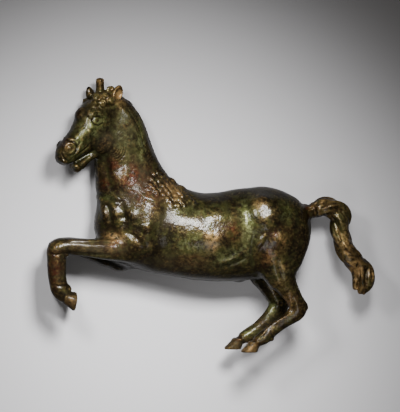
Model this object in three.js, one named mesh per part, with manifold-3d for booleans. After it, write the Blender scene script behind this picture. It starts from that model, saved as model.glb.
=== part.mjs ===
import * as THREE from 'three';
import { mergeVertices } from 'three/addons/utils/BufferGeometryUtils.js';
import Module from 'manifold-3d';

// Bronze statuette of a rearing horse, one casting with no plinth.
// It can't balance on its hind hooves, so it lies on its right side.
//
// While it is built the horse stands upright: X runs from head to tail, Y towards its own
// right side, Z up, and zero is on the ground between the hind hooves. Lengths are millimetres.
// A station is [x, y, z, half depth, half width]: depth is measured in the plane of the
// horse's profile, across the limb, and width from side to side.
// A muscle is an ellipsoid: half holds its half sizes along X, Y and Z, and lean turns it in
// the profile plane, in degrees. Paired muscles are given for the right side.

// Sides of the horse: its left is the near side, its right is the far side it lies on
const NEAR = -1;
const FAR = 1;

// Trunk, from the buttocks to the front of the chest
const TRUNK = [
  [50, 0, 104, 12, 12],
  [46.5, 0, 104, 22, 18],
  [40, 0, 103.5, 30, 24],
  [31, 0, 103, 34.5, 27.5],
  [18, 0, 103.5, 37, 29],
  [5, 0, 100.5, 39, 29],
  [-12, 0, 98, 38.5, 29.5],
  [-31, 0, 97.5, 37.5, 30.5],
  [-51, 0, 100.5, 37, 29],
  [-70, 0, 105, 38, 26.5],
  [-87, 0, 108, 36, 24],
  [-102, 0, 109, 31, 21],
  [-112, 0, 109, 24, 17],
  [-117, 0, 109, 17, 12.5],
];

// Neck, from inside the shoulders up to the poll, and the ridge of the withers
const NECK = [
  [-80, 0, 108, 28, 20],
  [-88, 0, 124, 32.5, 22],
  [-94, 0, 139, 31.5, 19.5],
  [-98, 0, 154, 28.5, 16.5],
  [-100.5, 0, 170, 25, 14.5],
  [-101, 0, 184, 21, 13.5],
  [-103, 0, 197, 17.5, 12.5],
  [-106.5, 0, 207, 13.5, 10.5],
  [-110, 0, 215, 8.5, 7.5],
];
const WITHERS = [
  [-84, 0, 165, 6, 5.5],
  [-73, 0, 150, 7.5, 7.5],
  [-63.5, 0, 140, 7, 8],
  [-51, 0, 132.5, 6, 8],
  [-36, 0, 126.5, 5.5, 7],
];

// Hogged mane, a narrow strip along the crest, and the rough hair where it ends
const MANE = [
  [-105, 0, 215, 4, 2.8],
  [-97, 0, 208, 4.6, 2.8],
  [-89.5, 0, 196.5, 4.6, 2.8],
  [-83.5, 0, 183, 4.4, 2.8],
  [-79, 0, 171, 4.2, 3],
  [-75, 0, 160, 4.4, 3.6],
];
const TUFT = { at: [-80, 6.5, 152.5], half: [3.4, 4.6, 6.2], lean: -40 };
const TUFTS_A_SIDE = 4;
const TUFT_STEP = [7.5, 1.4, -7.5];

// Head before it is turned, poll to nose, and the lower jaw
const HEAD_TURN_DEG = 22;
const HEAD_PIVOT_X = -111;
const SKULL = [
  [-117, 0, 212, 11, 9.5],
  [-125, 0, 203, 16.5, 12.5],
  [-131.5, 0, 192, 17.5, 12.5],
  [-139, 0, 185, 14.2, 10.8],
  [-146, 0, 180, 11.4, 9.4],
  [-152.5, 0, 175.5, 10, 8.6],
  [-157.5, 0, 170.5, 9, 7.8],
  [-160.5, 0, 167, 6.5, 6.2],
];
const LOWER_JAW = [
  [-118, 0, 175, 7, 8.5],
  [-127.5, 0, 172, 4.8, 7],
  [-135.5, 0, 167.5, 4, 5.8],
  [-142, 0, 162.5, 4.5, 5.6],
  [-147.5, 0, 159, 4.4, 5],
];
const FACE_MUSCLES = [
  { at: [-122.5, 5, 183.5], half: [13.5, 7.5, 13.5] },
  { at: [-136.5, 8, 204.5], half: [6.5, 4.8, 5], lean: 40 },
  { at: [-156.5, 4, 176.5], half: [5.8, 4.9, 5.6] },
];
const EYE = { at: [-132.5, 11, 199.5], half: [2.9, 1.9, 2.4] };
const NOSTRIL = { at: [-157, 7.6, 177], radius: 4, rim: 1.4, knob: 1.8, splay: 18 };

// Ears, the near one laid back, and the bound topknot rising from a ring of curls
const NEAR_EAR = { at: [-111.2, -8.5, 221.5], half: [4.6, 3.2, 7.6], lean: 22 };
const FAR_EAR = { at: [-127.5, 8.5, 220.5], half: [3.8, 3, 7], lean: -12 };
const EAR_CUP = { share: 0.66, shift: 0.5 };
const TOPKNOT = [
  [-122.5, 0, 212, 5, 5],
  [-123, 0, 221, 3.9, 3.9],
  [-123, 0, 228.5, 3.6, 3.6],
  [-123, 0, 233, 3.4, 3.4],
];
const CURLS = { at: [-121, 0, 217], ring: 7, rise: 3, count: 7, radius: 4.3 };

// Legs, from inside the body to the coronet of the hoof. The far foreleg lags behind the near one.
const NEAR_FORELEG = [
  [-88, -12, 92, 15, 10],
  [-101, -14, 90, 12, 10],
  [-114, -14, 90, 9.8, 9],
  [-127, -14, 90.8, 8.3, 7.6],
  [-141, -14, 92.3, 7.3, 6.8],
  [-152, -14, 93, 7.2, 6.8],
  [-160, -14, 90.5, 8.4, 7],
  [-160.8, -14, 82.5, 8.2, 6.6],
  [-160.8, -14, 73, 7.9, 6],
  [-160, -14, 64, 7.6, 5.8],
  [-158, -14, 56.5, 7.6, 6],
  [-153.5, -14, 50.5, 6.2, 5.6],
];
const FAR_FORELEG = [
  [-84, 12, 88, 15, 10],
  [-97, 13, 81.5, 12.5, 10],
  [-110, 14, 82.3, 11, 9],
  [-122.5, 14, 85.5, 9.2, 7.8],
  [-136, 14, 89.5, 7.6, 6.8],
  [-147.5, 14, 91, 7.2, 6.8],
  [-155.8, 14, 88.5, 8.4, 7],
  [-156.6, 14, 80.5, 8.2, 6.6],
  [-156.6, 14, 71, 7.9, 6],
  [-155.8, 14, 62, 7.6, 5.8],
  [-153.8, 14, 54.5, 7.6, 6],
  [-149.3, 14, 48.5, 6.2, 5.6],
];
const NEAR_HIND_LEG = [
  [33, -14, 108, 18, 12],
  [33, -15, 101, 22, 13],
  [32, -16, 93, 23, 13.5],
  [31, -16.5, 83, 21, 13],
  [29.5, -17, 73, 18, 11.5],
  [31.5, -17, 64.5, 13.8, 10],
  [35.5, -16.5, 57.8, 10.2, 8.5],
  [39.6, -16, 51, 8.2, 7],
  [43.6, -16, 44.2, 7.2, 6],
  [46.6, -15.5, 38.5, 7.6, 5.8],
  [45, -15, 33.5, 7.4, 5.6],
  [38.7, -15, 28.4, 5.9, 5],
  [31, -14.5, 22.9, 5.3, 4.8],
  [23.2, -14, 17, 5.5, 5],
  [17.6, -13.5, 12.4, 6, 5.5],
  [12, -13, 9.2, 5, 5.2],
];
const FAR_HIND_LEG = [
  [27, 14, 108, 20, 13],
  [25, 15, 98, 23, 14],
  [22, 16.5, 85, 20, 13],
  [21, 17, 73, 17, 11.5],
  [23.5, 17, 63, 13, 10],
  [27, 16.5, 55.2, 10.2, 8.5],
  [31.2, 16, 47.6, 8.4, 7],
  [34.6, 16, 40.8, 8, 6.2],
  [35, 15.5, 35.7, 8.2, 5.8],
  [31, 15, 30.4, 7, 5.4],
  [24.3, 15, 24.7, 5.4, 5],
  [16.5, 14, 18.3, 5.2, 4.8],
  [9.6, 13.5, 13.2, 5.6, 5.2],
  [4, 13, 9.4, 5, 5.2],
];
// The first stations of a leg are flesh that blends with the body, the others a plain limb
const FORELEG_FLESH = 4;
const HIND_LEG_FLESH = 6;
const FLESH_END_TAPER = 0.7;

// Hooves: the centres of coronet and sole, and the way the sole faces
const HOOF = { topDepth: 5.2, topWidth: 5.5, depth: 7.4, width: 6.4, rim: 1.4, soleShare: 0.97 };
const HOOVES = [
  { coronet: [-155, -14, 50], sole: [-144.5, -14, 45.5], facing: [1, 0, -0.15] },
  { coronet: [-150.8, 14, 48], sole: [-140.3, 14, 43.5], facing: [1, 0, -0.15] },
  { coronet: [10, -13, 9.5], sole: [5, -13, 0], facing: [0, 0, -1] },
  { coronet: [1, 13, 9.5], sole: [-4.7, 13, 0], facing: [0, 0, -1] },
];

// Muscles of both sides: shoulder, upper arm, breast, haunch and thigh
const BODY_MUSCLES = [
  { at: [-84, 12, 112], half: [21, 15, 30], lean: 16 },
  { at: [-88, 17, 95], half: [18, 11, 12.5] },
  { at: [-102, 8.5, 116], half: [9, 10, 17] },
  { at: [19, 11, 114], half: [22, 17.5, 21] },
  { at: [22, 18, 91], half: [17.5, 12.5, 20], lean: 12 },
];
// Lower point of the far elbow, and two small folds under the flank
const LONE_MUSCLES = [
  { at: [-103, 13, 72.5], half: [7, 6, 5] },
  { at: [-2, 0, 64], half: [8, 6, 5] },
  { at: [14.5, -4, 67], half: [6, 6, 6] },
];

// Tail, a twisted rope of hair, root to tip
const TAIL = [
  [48, 0, 118, 6, 6],
  [61, 0, 119, 6, 6],
  [70.5, 0, 121.3, 8, 7.4],
  [80, 0, 120.5, 8.8, 7.8],
  [86.5, 0, 113.5, 8.8, 7.8],
  [86, 0, 103, 7.8, 7.4],
  [87.3, 0, 93.5, 7.8, 7.4],
  [92, 0, 84, 8, 7.6],
  [99, 0, 74, 8.4, 7.8],
  [107, 0, 65, 8.6, 7.8],
  [108.5, 0, 56.5, 8, 7],
  [106.5, 0, 50.5, 5.5, 5],
];
const TAIL_STRANDS = 3;
const TAIL_TURNS = 2;
const STRAND_SWELL = 0.13;

// How far the creases between forms are rounded
const BLEND = { body: 7, muscle: 4, neck: 8, withers: 6, face: 3 };

// Grid of the flesh: where it starts, and zones of [up to, step] that set how fine it is
const GRID = {
  x: { start: -172, zones: [[-104, 4.1], [-12, 7.4], [72, 6]] },
  y: { start: -42, zones: [[42, 5.1]] },
  z: { start: 32, zones: [[150, 6.4], [232, 4.2]] },
};
// Evening out of the grid's skin, and settling it on the flesh
const EVENING_ROUNDS = 4;
const EVENING_PULL = 0.5;
const SETTLING_ROUNDS = 2;
const SETTLING_PROBE = 0.5;
// How far a stretch of a limb's flesh reaches past its ends, as a share of its smaller half size
const STRETCH_REACH = 0.8;

// Facets
const LIMB_SIDES = 12;
const MANE_SIDES = 8;
const HOOF_SIDES = 14;
const RIM_SIDES = 6;
const RING_SIDES = 12;
const BALL_ROWS_SHARE = 0.6;
// Dome that ends a limb: its reach against the last half depth, and the angles of its rings
const DOME_REACH = 0.6;
const DOME_RINGS_DEG = [30, 60];

// Tilt from lying square on its right side to where haunch, barrel and shoulder all touch the
// floor below its weight, and the depth of the flat spots there that keep it from rolling
const LYING_ROLL_DEG = -7;
const LYING_YAW_DEG = -1;
const FLAT_SPOT_DEPTH = 0.8;

const BRONZE = { color: 0x2b2118, roughness: 0.35, metalness: 0.9 };

const radians = THREE.MathUtils.degToRad;

/** Directions of one ring's depth and width, from the direction along the limb. */
function ringAxes(along) {
  const across = new THREE.Vector3(0, 1, 0).addScaledVector(along, -along.y).normalize();
  return { across, up: new THREE.Vector3().crossVectors(along, across) };
}

/** Rings through the stations, with each size smoothed between them. */
function ringsThrough(stations, steps) {
  const points = stations.map(([x, y, z]) => new THREE.Vector3(x, y, z));
  const sizes = stations.map(([, , , depth, width]) => new THREE.Vector3(depth, width, 0));
  const path = new THREE.CatmullRomCurve3(points, false, 'catmullrom');
  const size = new THREE.CatmullRomCurve3(sizes, false, 'catmullrom');
  const last = (stations.length - 1) * steps;
  return Array.from({ length: last + 1 }, (_, i) => {
    const t = i / last;
    const along = path.getTangent(t);
    const { x: depth, y: width } = size.getPoint(t);
    return { t, at: path.getPoint(t), along, depth, width, ...ringAxes(along) };
  });
}

/** Two rings and a pole that close an end as a dome, on the side that sign gives. */
function domeOn(ring, sign) {
  const pointAt = (deg) => {
    const rise = sign * DOME_REACH * ring.depth * Math.sin(radians(deg));
    return ring.at.clone().addScaledVector(ring.along, rise);
  };
  const rings = DOME_RINGS_DEG.map((deg) => {
    const shrink = Math.cos(radians(deg));
    return { ...ring, at: pointAt(deg), depth: ring.depth * shrink, width: ring.width * shrink };
  });
  return { rings, pole: pointAt(90) };
}

function closedGeometry(position, index) {
  const geometry = new THREE.BufferGeometry();
  geometry.setAttribute('position', new THREE.Float32BufferAttribute(position, 3));
  geometry.setIndex(index);
  return geometry;
}

/** Closed skin over a row of rings; swell scales a ring by the angle round it. */
function skin(rings, startPole, endPole, sides, swell = () => 1) {
  const position = [];
  const index = [];
  for (const ring of rings) {
    for (let k = 0; k < sides; k++) {
      const angle = (2 * Math.PI * k) / sides;
      const scale = swell(angle, ring);
      const point = ring.at.clone()
        .addScaledVector(ring.up, ring.depth * scale * Math.cos(angle))
        .addScaledVector(ring.across, ring.width * scale * Math.sin(angle));
      position.push(...point);
    }
  }
  const lastRing = (rings.length - 1) * sides;
  const firstPole = rings.length * sides;
  for (let k = 0; k < sides; k++) {
    const next = (k + 1) % sides;
    for (let start = 0; start < lastRing; start += sides) {
      index.push(start + k, start + next + sides, start + next);
      index.push(start + k, start + k + sides, start + next + sides);
    }
    index.push(firstPole, k, next);
    index.push(firstPole + 1, lastRing + next, lastRing + k);
  }
  position.push(...startPole, ...endPole);
  return closedGeometry(position, index);
}

/** Closed limb through the stations, domed at both ends. */
function limb(stations, { sides = LIMB_SIDES, steps = 2, swell } = {}) {
  const rings = ringsThrough(stations, steps);
  const start = domeOn(rings[0], -1);
  const end = domeOn(rings.at(-1), 1);
  return skin([...start.rings.reverse(), ...rings, ...end.rings], start.pole, end.pole, sides, swell);
}

/** Hoof: a wall that widens from the coronet, inside the pastern's end, to a flat sole. */
function hoof({ coronet, sole, facing }) {
  const top = new THREE.Vector3(...coronet);
  const bottom = new THREE.Vector3(...sole);
  const down = new THREE.Vector3(...facing).normalize();
  const wall = bottom.clone().addScaledVector(down, -HOOF.rim);
  const rings = [
    { at: top, depth: HOOF.topDepth, width: HOOF.topWidth },
    { at: wall, depth: HOOF.depth, width: HOOF.width },
    { at: bottom, depth: HOOF.depth * HOOF.soleShare, width: HOOF.width * HOOF.soleShare },
  ].map((ring) => ({ ...ring, ...ringAxes(down) }));
  return skin(rings, top, bottom, HOOF_SIDES);
}

/** A primitive as a closed mesh that shares its vertices. */
function welded(geometry) {
  geometry.deleteAttribute('normal');
  geometry.deleteAttribute('uv');
  return mergeVertices(geometry, 1e-4);
}

function ellipsoid({ at, half, lean = 0 }, segments = 8) {
  const geometry = welded(new THREE.SphereGeometry(1, segments, Math.ceil(segments * BALL_ROWS_SHARE)));
  geometry.scale(...half);
  geometry.rotateY(radians(lean));
  return geometry.translate(...at);
}

/** The same form on one side of the horse. */
function onSide(form, side) {
  const [x, y, z] = form.at;
  return { ...form, at: [x, y * side, z] };
}

const wasm = await Module();
wasm.setup();

function solidOf(geometry) {
  return new wasm.Manifold(new wasm.Mesh({
    numProp: 3,
    vertProperties: new Float32Array(geometry.attributes.position.array),
    triVerts: new Uint32Array(geometry.index.array),
  }));
}

function geometryOf(solid) {
  const { vertProperties, triVerts } = solid.getMesh();
  return closedGeometry(vertProperties, Array.from(triVerts));
}

function joined(geometries) {
  return geometryOf(geometries.map(solidOf).reduce((whole, piece) => whole.add(piece)));
}

/** Distance from a point to an ellipsoid form, below zero inside it. */
function ellipsoidDistance(along, across, up, length, width, depth) {
  const scaled = Math.hypot(along / length, across / width, up / depth);
  const reach = Math.hypot(along, across, up);
  return scaled > 1e-6 ? reach * (1 - 1 / scaled) : -Math.min(length, width, depth);
}

/** Distance to the flesh round a limb's stations: the nearest of its stretches. */
function limbDistance(stations) {
  const rings = ringsThrough(stations, 2);
  const stretches = rings.slice(1).map((b, i) => ({ a: rings[i], b, run: b.at.clone().sub(rings[i].at) }));
  const offset = new THREE.Vector3();
  const mix = THREE.MathUtils.lerp;
  return (point) => {
    let nearest = Infinity;
    for (const { a, b, run } of stretches) {
      offset.subVectors(point, a.at);
      const t = THREE.MathUtils.clamp(offset.dot(run) / run.lengthSq(), 0, 1);
      const depth = mix(a.depth, b.depth, t);
      const width = mix(a.width, b.width, t);
      offset.addScaledVector(run, -t);
      if (offset.length() - Math.max(depth, width) > nearest) continue;
      const along = mix(offset.dot(a.along), offset.dot(b.along), t);
      const across = mix(offset.dot(a.across), offset.dot(b.across), t);
      const up = mix(offset.dot(a.up), offset.dot(b.up), t);
      const length = STRETCH_REACH * Math.min(depth, width);
      nearest = Math.min(nearest, ellipsoidDistance(along, across, up, length, width, depth));
    }
    return nearest;
  };
}

function muscleDistance({ at: [x, y, z], half: [length, width, depth], lean = 0 }) {
  const cos = Math.cos(radians(lean));
  const sin = Math.sin(radians(lean));
  return (point) => {
    const dx = point.x - x;
    const dz = point.z - z;
    return ellipsoidDistance(dx * cos - dz * sin, point.y - y, dx * sin + dz * cos, length, width, depth);
  };
}

/** Two distances joined with a rounded crease. */
function blended(a, b, radius) {
  const near = Math.max(radius - Math.abs(a - b), 0) / radius;
  return Math.min(a, b) - (near * near * radius) / 4;
}

/** The fleshy start of a leg, which ends inside the plain limb that goes on from it. */
function legFlesh(leg, count) {
  const [x, y, z, depth, width] = leg[count];
  return [...leg.slice(0, count), [x, y, z, depth * FLESH_END_TAPER, width * FLESH_END_TAPER]];
}

const paired = (muscles) => muscles.flatMap((muscle) => [onSide(muscle, NEAR), onSide(muscle, FAR)]);

const bodyForms = [
  { distance: limbDistance(TRUNK), blend: BLEND.body },
  { distance: limbDistance(NECK), blend: BLEND.neck },
  { distance: limbDistance(WITHERS), blend: BLEND.withers },
  ...[NEAR_FORELEG, FAR_FORELEG].map((leg) => legFlesh(leg, FORELEG_FLESH))
    .concat([NEAR_HIND_LEG, FAR_HIND_LEG].map((leg) => legFlesh(leg, HIND_LEG_FLESH)))
    .map((stations) => ({ distance: limbDistance(stations), blend: BLEND.body })),
  ...[...paired(BODY_MUSCLES), ...LONE_MUSCLES]
    .map((muscle) => ({ distance: muscleDistance(muscle), blend: BLEND.muscle })),
];

const headForms = [
  { distance: limbDistance(SKULL), blend: BLEND.body },
  ...paired(FACE_MUSCLES).map((muscle) => ({ distance: muscleDistance(muscle), blend: BLEND.face })),
];

/** The turn of the head about the upright line through the poll. */
const headTurn = new THREE.Matrix4().makeTranslation(HEAD_PIVOT_X, 0, 0)
  .multiply(new THREE.Matrix4().makeRotationZ(radians(HEAD_TURN_DEG)))
  .multiply(new THREE.Matrix4().makeTranslation(-HEAD_PIVOT_X, 0, 0));
const headUnturn = headTurn.clone().invert();

/** Distance from a point to the whole fleshy body. */
function fleshDistance(point) {
  const inHead = point.clone().applyMatrix4(headUnturn);
  const body = bodyForms.reduce((nearest, form) => blended(nearest, form.distance(point), form.blend), 1e3);
  return headForms.reduce((nearest, form) => blended(nearest, form.distance(inHead), form.blend), body);
}

/** Places of the grid lines along one axis. */
function gridLines({ start, zones }) {
  const lines = [start];
  for (const [end, step] of zones) {
    const from = lines.at(-1);
    const count = Math.round((end - from) / step);
    for (let i = 1; i <= count; i++) lines.push(from + ((end - from) * i) / count);
  }
  return lines;
}

/** Skin where the distance is zero: one point in each grid cell that it crosses, joined by quads. */
function skinOfFlesh(distanceAt) {
  const lines = [gridLines(GRID.x), gridLines(GRID.y), gridLines(GRID.z)];
  const [nx, ny, nz] = lines.map((places) => places.length);
  const node = (i, j, k) => (i * ny + j) * nz + k;
  const value = new Float32Array(nx * ny * nz);
  const point = new THREE.Vector3();
  for (let i = 0; i < nx; i++) {
    for (let j = 0; j < ny; j++) {
      for (let k = 0; k < nz; k++) {
        value[node(i, j, k)] = distanceAt(point.set(lines[0][i], lines[1][j], lines[2][k]));
      }
    }
  }

  // Each cell's twelve edges, as pairs of corners numbered by the bits x, y and z
  const corners = [0, 1, 2, 3, 4, 5, 6, 7];
  const edges = corners.flatMap((c) => [1, 2, 4].filter((bit) => !(c & bit)).map((bit) => [c, c | bit]));
  const position = [];
  const pointOf = new Map();
  for (let i = 0; i < nx - 1; i++) {
    for (let j = 0; j < ny - 1; j++) {
      for (let k = 0; k < nz - 1; k++) {
        const crossings = [];
        for (const pair of edges) {
          const [a, b] = pair.map((c) => [i + (c & 1), j + ((c >> 1) & 1), k + (c >> 2)]);
          const va = value[node(...a)];
          const vb = value[node(...b)];
          if ((va < 0) === (vb < 0)) continue;
          const t = va / (va - vb);
          crossings.push(lines.map((places, axis) => (1 - t) * places[a[axis]] + t * places[b[axis]]));
        }
        if (!crossings.length) continue;
        pointOf.set(node(i, j, k), position.length / 3);
        position.push(...[0, 1, 2].map((axis) => (
          crossings.reduce((sum, crossing) => sum + crossing[axis], 0) / crossings.length
        )));
      }
    }
  }

  const index = [];
  const steps = [node(1, 0, 0), node(0, 1, 0), node(0, 0, 1)];
  for (let i = 1; i < nx - 1; i++) {
    for (let j = 1; j < ny - 1; j++) {
      for (let k = 1; k < nz - 1; k++) {
        const here = node(i, j, k);
        steps.forEach((step, axis) => {
          if ((value[here] < 0) === (value[here + step] < 0)) return;
          const u = steps[(axis + 1) % 3];
          const v = steps[(axis + 2) % 3];
          const quad = [here, here - u, here - u - v, here - v].map((cell) => pointOf.get(cell));
          if (value[here] >= 0) quad.reverse();
          index.push(quad[0], quad[1], quad[2], quad[0], quad[2], quad[3]);
        });
      }
    }
  }
  return closedGeometry(position, index);
}

/** The same skin with its dents evened out: each round pulls in, then lets out again. */
function evened(geometry) {
  const position = geometry.attributes.position.array;
  const index = geometry.index.array;
  const neighbours = Array.from({ length: position.length / 3 }, () => new Set());
  for (let t = 0; t < index.length; t += 3) {
    for (const [a, b] of [[t, t + 1], [t + 1, t + 2], [t + 2, t]]) {
      neighbours[index[a]].add(index[b]);
      neighbours[index[b]].add(index[a]);
    }
  }
  for (let pass = 0; pass < 2 * EVENING_ROUNDS; pass++) {
    const pull = pass % 2 ? -EVENING_PULL : EVENING_PULL;
    const before = Float32Array.from(position);
    neighbours.forEach((ring, i) => {
      for (let axis = 0; axis < 3; axis++) {
        let sum = 0;
        ring.forEach((j) => { sum += before[3 * j + axis]; });
        position[3 * i + axis] += pull * (sum / ring.size - before[3 * i + axis]);
      }
    });
  }
  return geometry;
}

/** The same skin with each vertex moved along the distance's slope onto the flesh. */
function settled(geometry, distanceAt) {
  const position = geometry.attributes.position;
  const point = new THREE.Vector3();
  const probe = new THREE.Vector3();
  for (let i = 0; i < position.count; i++) {
    point.fromBufferAttribute(position, i);
    for (let round = 0; round < SETTLING_ROUNDS; round++) {
      const here = distanceAt(point);
      const slope = new THREE.Vector3(
        distanceAt(probe.copy(point).setX(point.x + SETTLING_PROBE)) - here,
        distanceAt(probe.copy(point).setY(point.y + SETTLING_PROBE)) - here,
        distanceAt(probe.copy(point).setZ(point.z + SETTLING_PROBE)) - here,
      ).divideScalar(SETTLING_PROBE);
      point.addScaledVector(slope, -here / slope.lengthSq());
    }
    position.setXYZ(i, ...point);
  }
  return geometry;
}

/** Ear hollowed on its outer face. */
function ear({ at: [x, y, z], half, lean }) {
  const cup = {
    at: [x - EAR_CUP.shift, y + Math.sign(y) * half[1], z - EAR_CUP.shift],
    half: [half[0] * EAR_CUP.share, half[1], half[2] * EAR_CUP.share],
    lean,
  };
  const shell = solidOf(ellipsoid({ at: [x, y, z], half, lean }, 10));
  return geometryOf(shell.subtract(solidOf(ellipsoid(cup, 8))));
}

/** Raised rim round a nostril, with a knob in it. */
function nostril(side) {
  const { at, radius, rim, knob, splay } = NOSTRIL;
  const place = onSide({ at }, side).at;
  const ring = welded(new THREE.TorusGeometry(radius, rim, RIM_SIDES, RING_SIDES));
  ring.rotateX(Math.PI / 2);
  ring.rotateZ(radians(splay * side));
  ring.translate(...place);
  return [ring, ellipsoid({ at: place, half: [knob, knob, knob] })];
}

/** Curls round the foot of the topknot, higher towards the poll. */
function curls() {
  const { at: [x, y, z], ring, rise, count, radius } = CURLS;
  return Array.from({ length: count }, (_, i) => {
    const angle = (2 * Math.PI * i) / count;
    const at = [x + ring * Math.cos(angle), y + ring * Math.sin(angle), z + rise * Math.cos(angle)];
    return ellipsoid({ at, half: [radius, radius, radius] });
  });
}

/** Lower jaw, eyes, nostrils, ears and forelock, turned with the head. */
function headFeatures() {
  const features = [
    limb(LOWER_JAW),
    limb(TOPKNOT, { sides: 8, steps: 1 }),
    ...curls(),
    ...[NEAR, FAR].flatMap((side) => [ellipsoid(onSide(EYE, side)), ...nostril(side)]),
    ear(NEAR_EAR),
    ear(FAR_EAR),
  ];
  return features.map((geometry) => geometry.applyMatrix4(headTurn));
}

/** Rough tufts of hair down both sides of the withers. */
function tufts() {
  return [NEAR, FAR].flatMap((side) => Array.from({ length: TUFTS_A_SIDE }, (_, i) => {
    const at = TUFT.at.map((place, axis) => place + i * TUFT_STEP[axis]);
    return ellipsoid(onSide({ ...TUFT, at }, side));
  }));
}

function tail() {
  const strands = (angle, ring) => TAIL_STRANDS * (angle - 2 * Math.PI * TAIL_TURNS * ring.t);
  return limb(TAIL, { swell: (angle, ring) => 1 + STRAND_SWELL * Math.cos(strands(angle, ring)) });
}

/** The parts of the legs that stand clear of the body, down to the pasterns. */
function lowerLegs() {
  const forelegs = [NEAR_FORELEG, FAR_FORELEG].map((leg) => leg.slice(FORELEG_FLESH - 1));
  const hindLegs = [NEAR_HIND_LEG, FAR_HIND_LEG].map((leg) => leg.slice(HIND_LEG_FLESH - 1));
  return [...forelegs, ...hindLegs].map((stations) => limb(stations, { steps: 1 }));
}

/** The upright horse turned onto its right side, with the flat spots that it rests on. */
function laidDown(geometry) {
  const turn = new THREE.Euler(radians(-90 + LYING_ROLL_DEG), 0, radians(LYING_YAW_DEG));
  geometry.applyMatrix4(new THREE.Matrix4().makeRotationFromEuler(turn));
  geometry.computeBoundingBox();
  const size = geometry.boundingBox.getSize(new THREE.Vector3());
  const reach = 4 * Math.max(size.x, size.y);
  const block = new THREE.BoxGeometry(reach, reach, size.z);
  block.translate(0, 0, geometry.boundingBox.min.z + FLAT_SPOT_DEPTH - size.z / 2);
  return geometryOf(solidOf(geometry).subtract(solidOf(welded(block))));
}

const upright = joined([
  settled(evened(skinOfFlesh(fleshDistance)), fleshDistance),
  ...headFeatures(),
  limb(MANE, { sides: MANE_SIDES }),
  ...tufts(),
  ...lowerLegs(),
  ...HOOVES.map(hoof),
  tail(),
]);

const horse = new THREE.Mesh(laidDown(upright), new THREE.MeshStandardMaterial(BRONZE));
horse.name = 'horse';

// Zero is on the floor below the middle of the object's box
const box = new THREE.Box3().setFromObject(horse, true);
const middle = box.getCenter(new THREE.Vector3());
horse.position.set(-middle.x, -middle.y, -box.min.z);

const group = new THREE.Group();
group.add(horse);

export default group;
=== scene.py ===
"""Bronze statuette of a rearing horse, one casting without a plinth, lying on its right side.

The horse is modelled upright in millimetres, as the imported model's source is: X runs from head
to tail, Y towards its own right side and Z up, with zero on the ground between the hind hooves.
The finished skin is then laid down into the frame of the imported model, in metres.
"""

import logging
import math
from dataclasses import dataclass, field
from enum import Enum, IntEnum
from typing import Callable, Iterable, Sequence

import bmesh
import bpy
import numpy as np
from mathutils import Matrix, Vector, noise
from mathutils.bvhtree import BVHTree

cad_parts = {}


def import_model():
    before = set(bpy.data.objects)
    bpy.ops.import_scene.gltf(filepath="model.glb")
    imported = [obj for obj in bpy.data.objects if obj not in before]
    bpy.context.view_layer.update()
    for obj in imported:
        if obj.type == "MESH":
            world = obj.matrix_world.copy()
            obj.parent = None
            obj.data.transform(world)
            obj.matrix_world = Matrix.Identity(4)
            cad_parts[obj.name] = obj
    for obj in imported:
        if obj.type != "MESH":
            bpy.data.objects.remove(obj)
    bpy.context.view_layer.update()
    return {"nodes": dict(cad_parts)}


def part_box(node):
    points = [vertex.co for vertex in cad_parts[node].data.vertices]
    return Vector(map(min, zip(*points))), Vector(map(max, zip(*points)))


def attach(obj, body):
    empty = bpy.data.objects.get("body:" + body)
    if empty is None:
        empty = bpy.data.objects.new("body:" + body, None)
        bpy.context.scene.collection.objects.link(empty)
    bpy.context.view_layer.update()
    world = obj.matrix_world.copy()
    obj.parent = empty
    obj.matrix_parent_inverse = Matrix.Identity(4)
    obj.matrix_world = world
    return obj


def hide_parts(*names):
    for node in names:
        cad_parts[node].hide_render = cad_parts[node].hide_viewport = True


log = logging.getLogger("horse")

Pair = tuple[float, float]
Point = tuple[float, float, float]
Profile = tuple[Pair, ...]
# X, Y and Z of one place on a limb, and its half depth and half width there
Station = tuple[float, float, float, float, float]
Limb = tuple[Station, ...]
# Centre and half sizes of an ellipsoid, and its turn in the profile plane in degrees
Form = tuple[Point, Point, float]
# Centre, half sizes and strength of a zone of patina
Spot = tuple[Point, Point, float]
# Half sizes and span in degrees of an arc, and the width and height of the stroke along it
Arc = tuple[Pair, tuple[int, int], float, float]
# Factor on a limb's size, by the angle round it and the share of the way along
Swell = Callable[[float, float], float]

MM = 0.001
UNTURNED = Matrix.Identity(4)
# Towards the upright horse's right side
ACROSS = Vector((0, 1, 0))


class Side(IntEnum):
    """The horse's two sides: it lies on its far side, its right."""

    NEAR = -1
    FAR = 1


class Relief(Enum):
    """Whether a stroke is cut on one side of the horse or on both."""

    NEAR_ONLY = (Side.NEAR,)
    FAR_ONLY = (Side.FAR,)
    BOTH = (Side.NEAR, Side.FAR)


class Tint(IntEnum):
    """Kinds of patina, in the order of the tables of a part; the last, dark, is painted shade and counts
    as hollows.
    """

    WORN = 0
    GREEN = 1
    RED = 2
    MATT = 3
    # Painted shade: dark spots in the mouth, nostrils, eyes and the tail's hollow tip
    PAINTED_SHADE = 4


def turn_about(axis: str, degrees: float) -> Matrix:
    """Returns a turn about X, Y or Z."""
    return Matrix.Rotation(math.radians(degrees), 4, axis)


def pointed(way: Vector) -> Matrix:
    """Returns a turn that points Z along a direction."""
    return way.to_track_quat("Z", "Y").to_matrix().to_4x4()


@dataclass(frozen=True)
class LyingPose:
    """How the upright horse, in millimetres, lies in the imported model's frame, in metres."""

    roll_deg: float = -7.0
    yaw_deg: float = -1.0
    place_mm: Point = (26.000, -115.621, 42.177)

    def turn(self) -> Matrix:
        """Returns the turn from upright to lying."""
        return turn_about("X", -90 + self.roll_deg) @ turn_about("Z", self.yaw_deg)

    def laid_down(self) -> Matrix:
        """Returns the whole move from upright millimetres to lying metres."""
        return Matrix.Scale(MM, 4) @ Matrix.Translation(self.place_mm) @ self.turn()


LYING = LyingPose()


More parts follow.
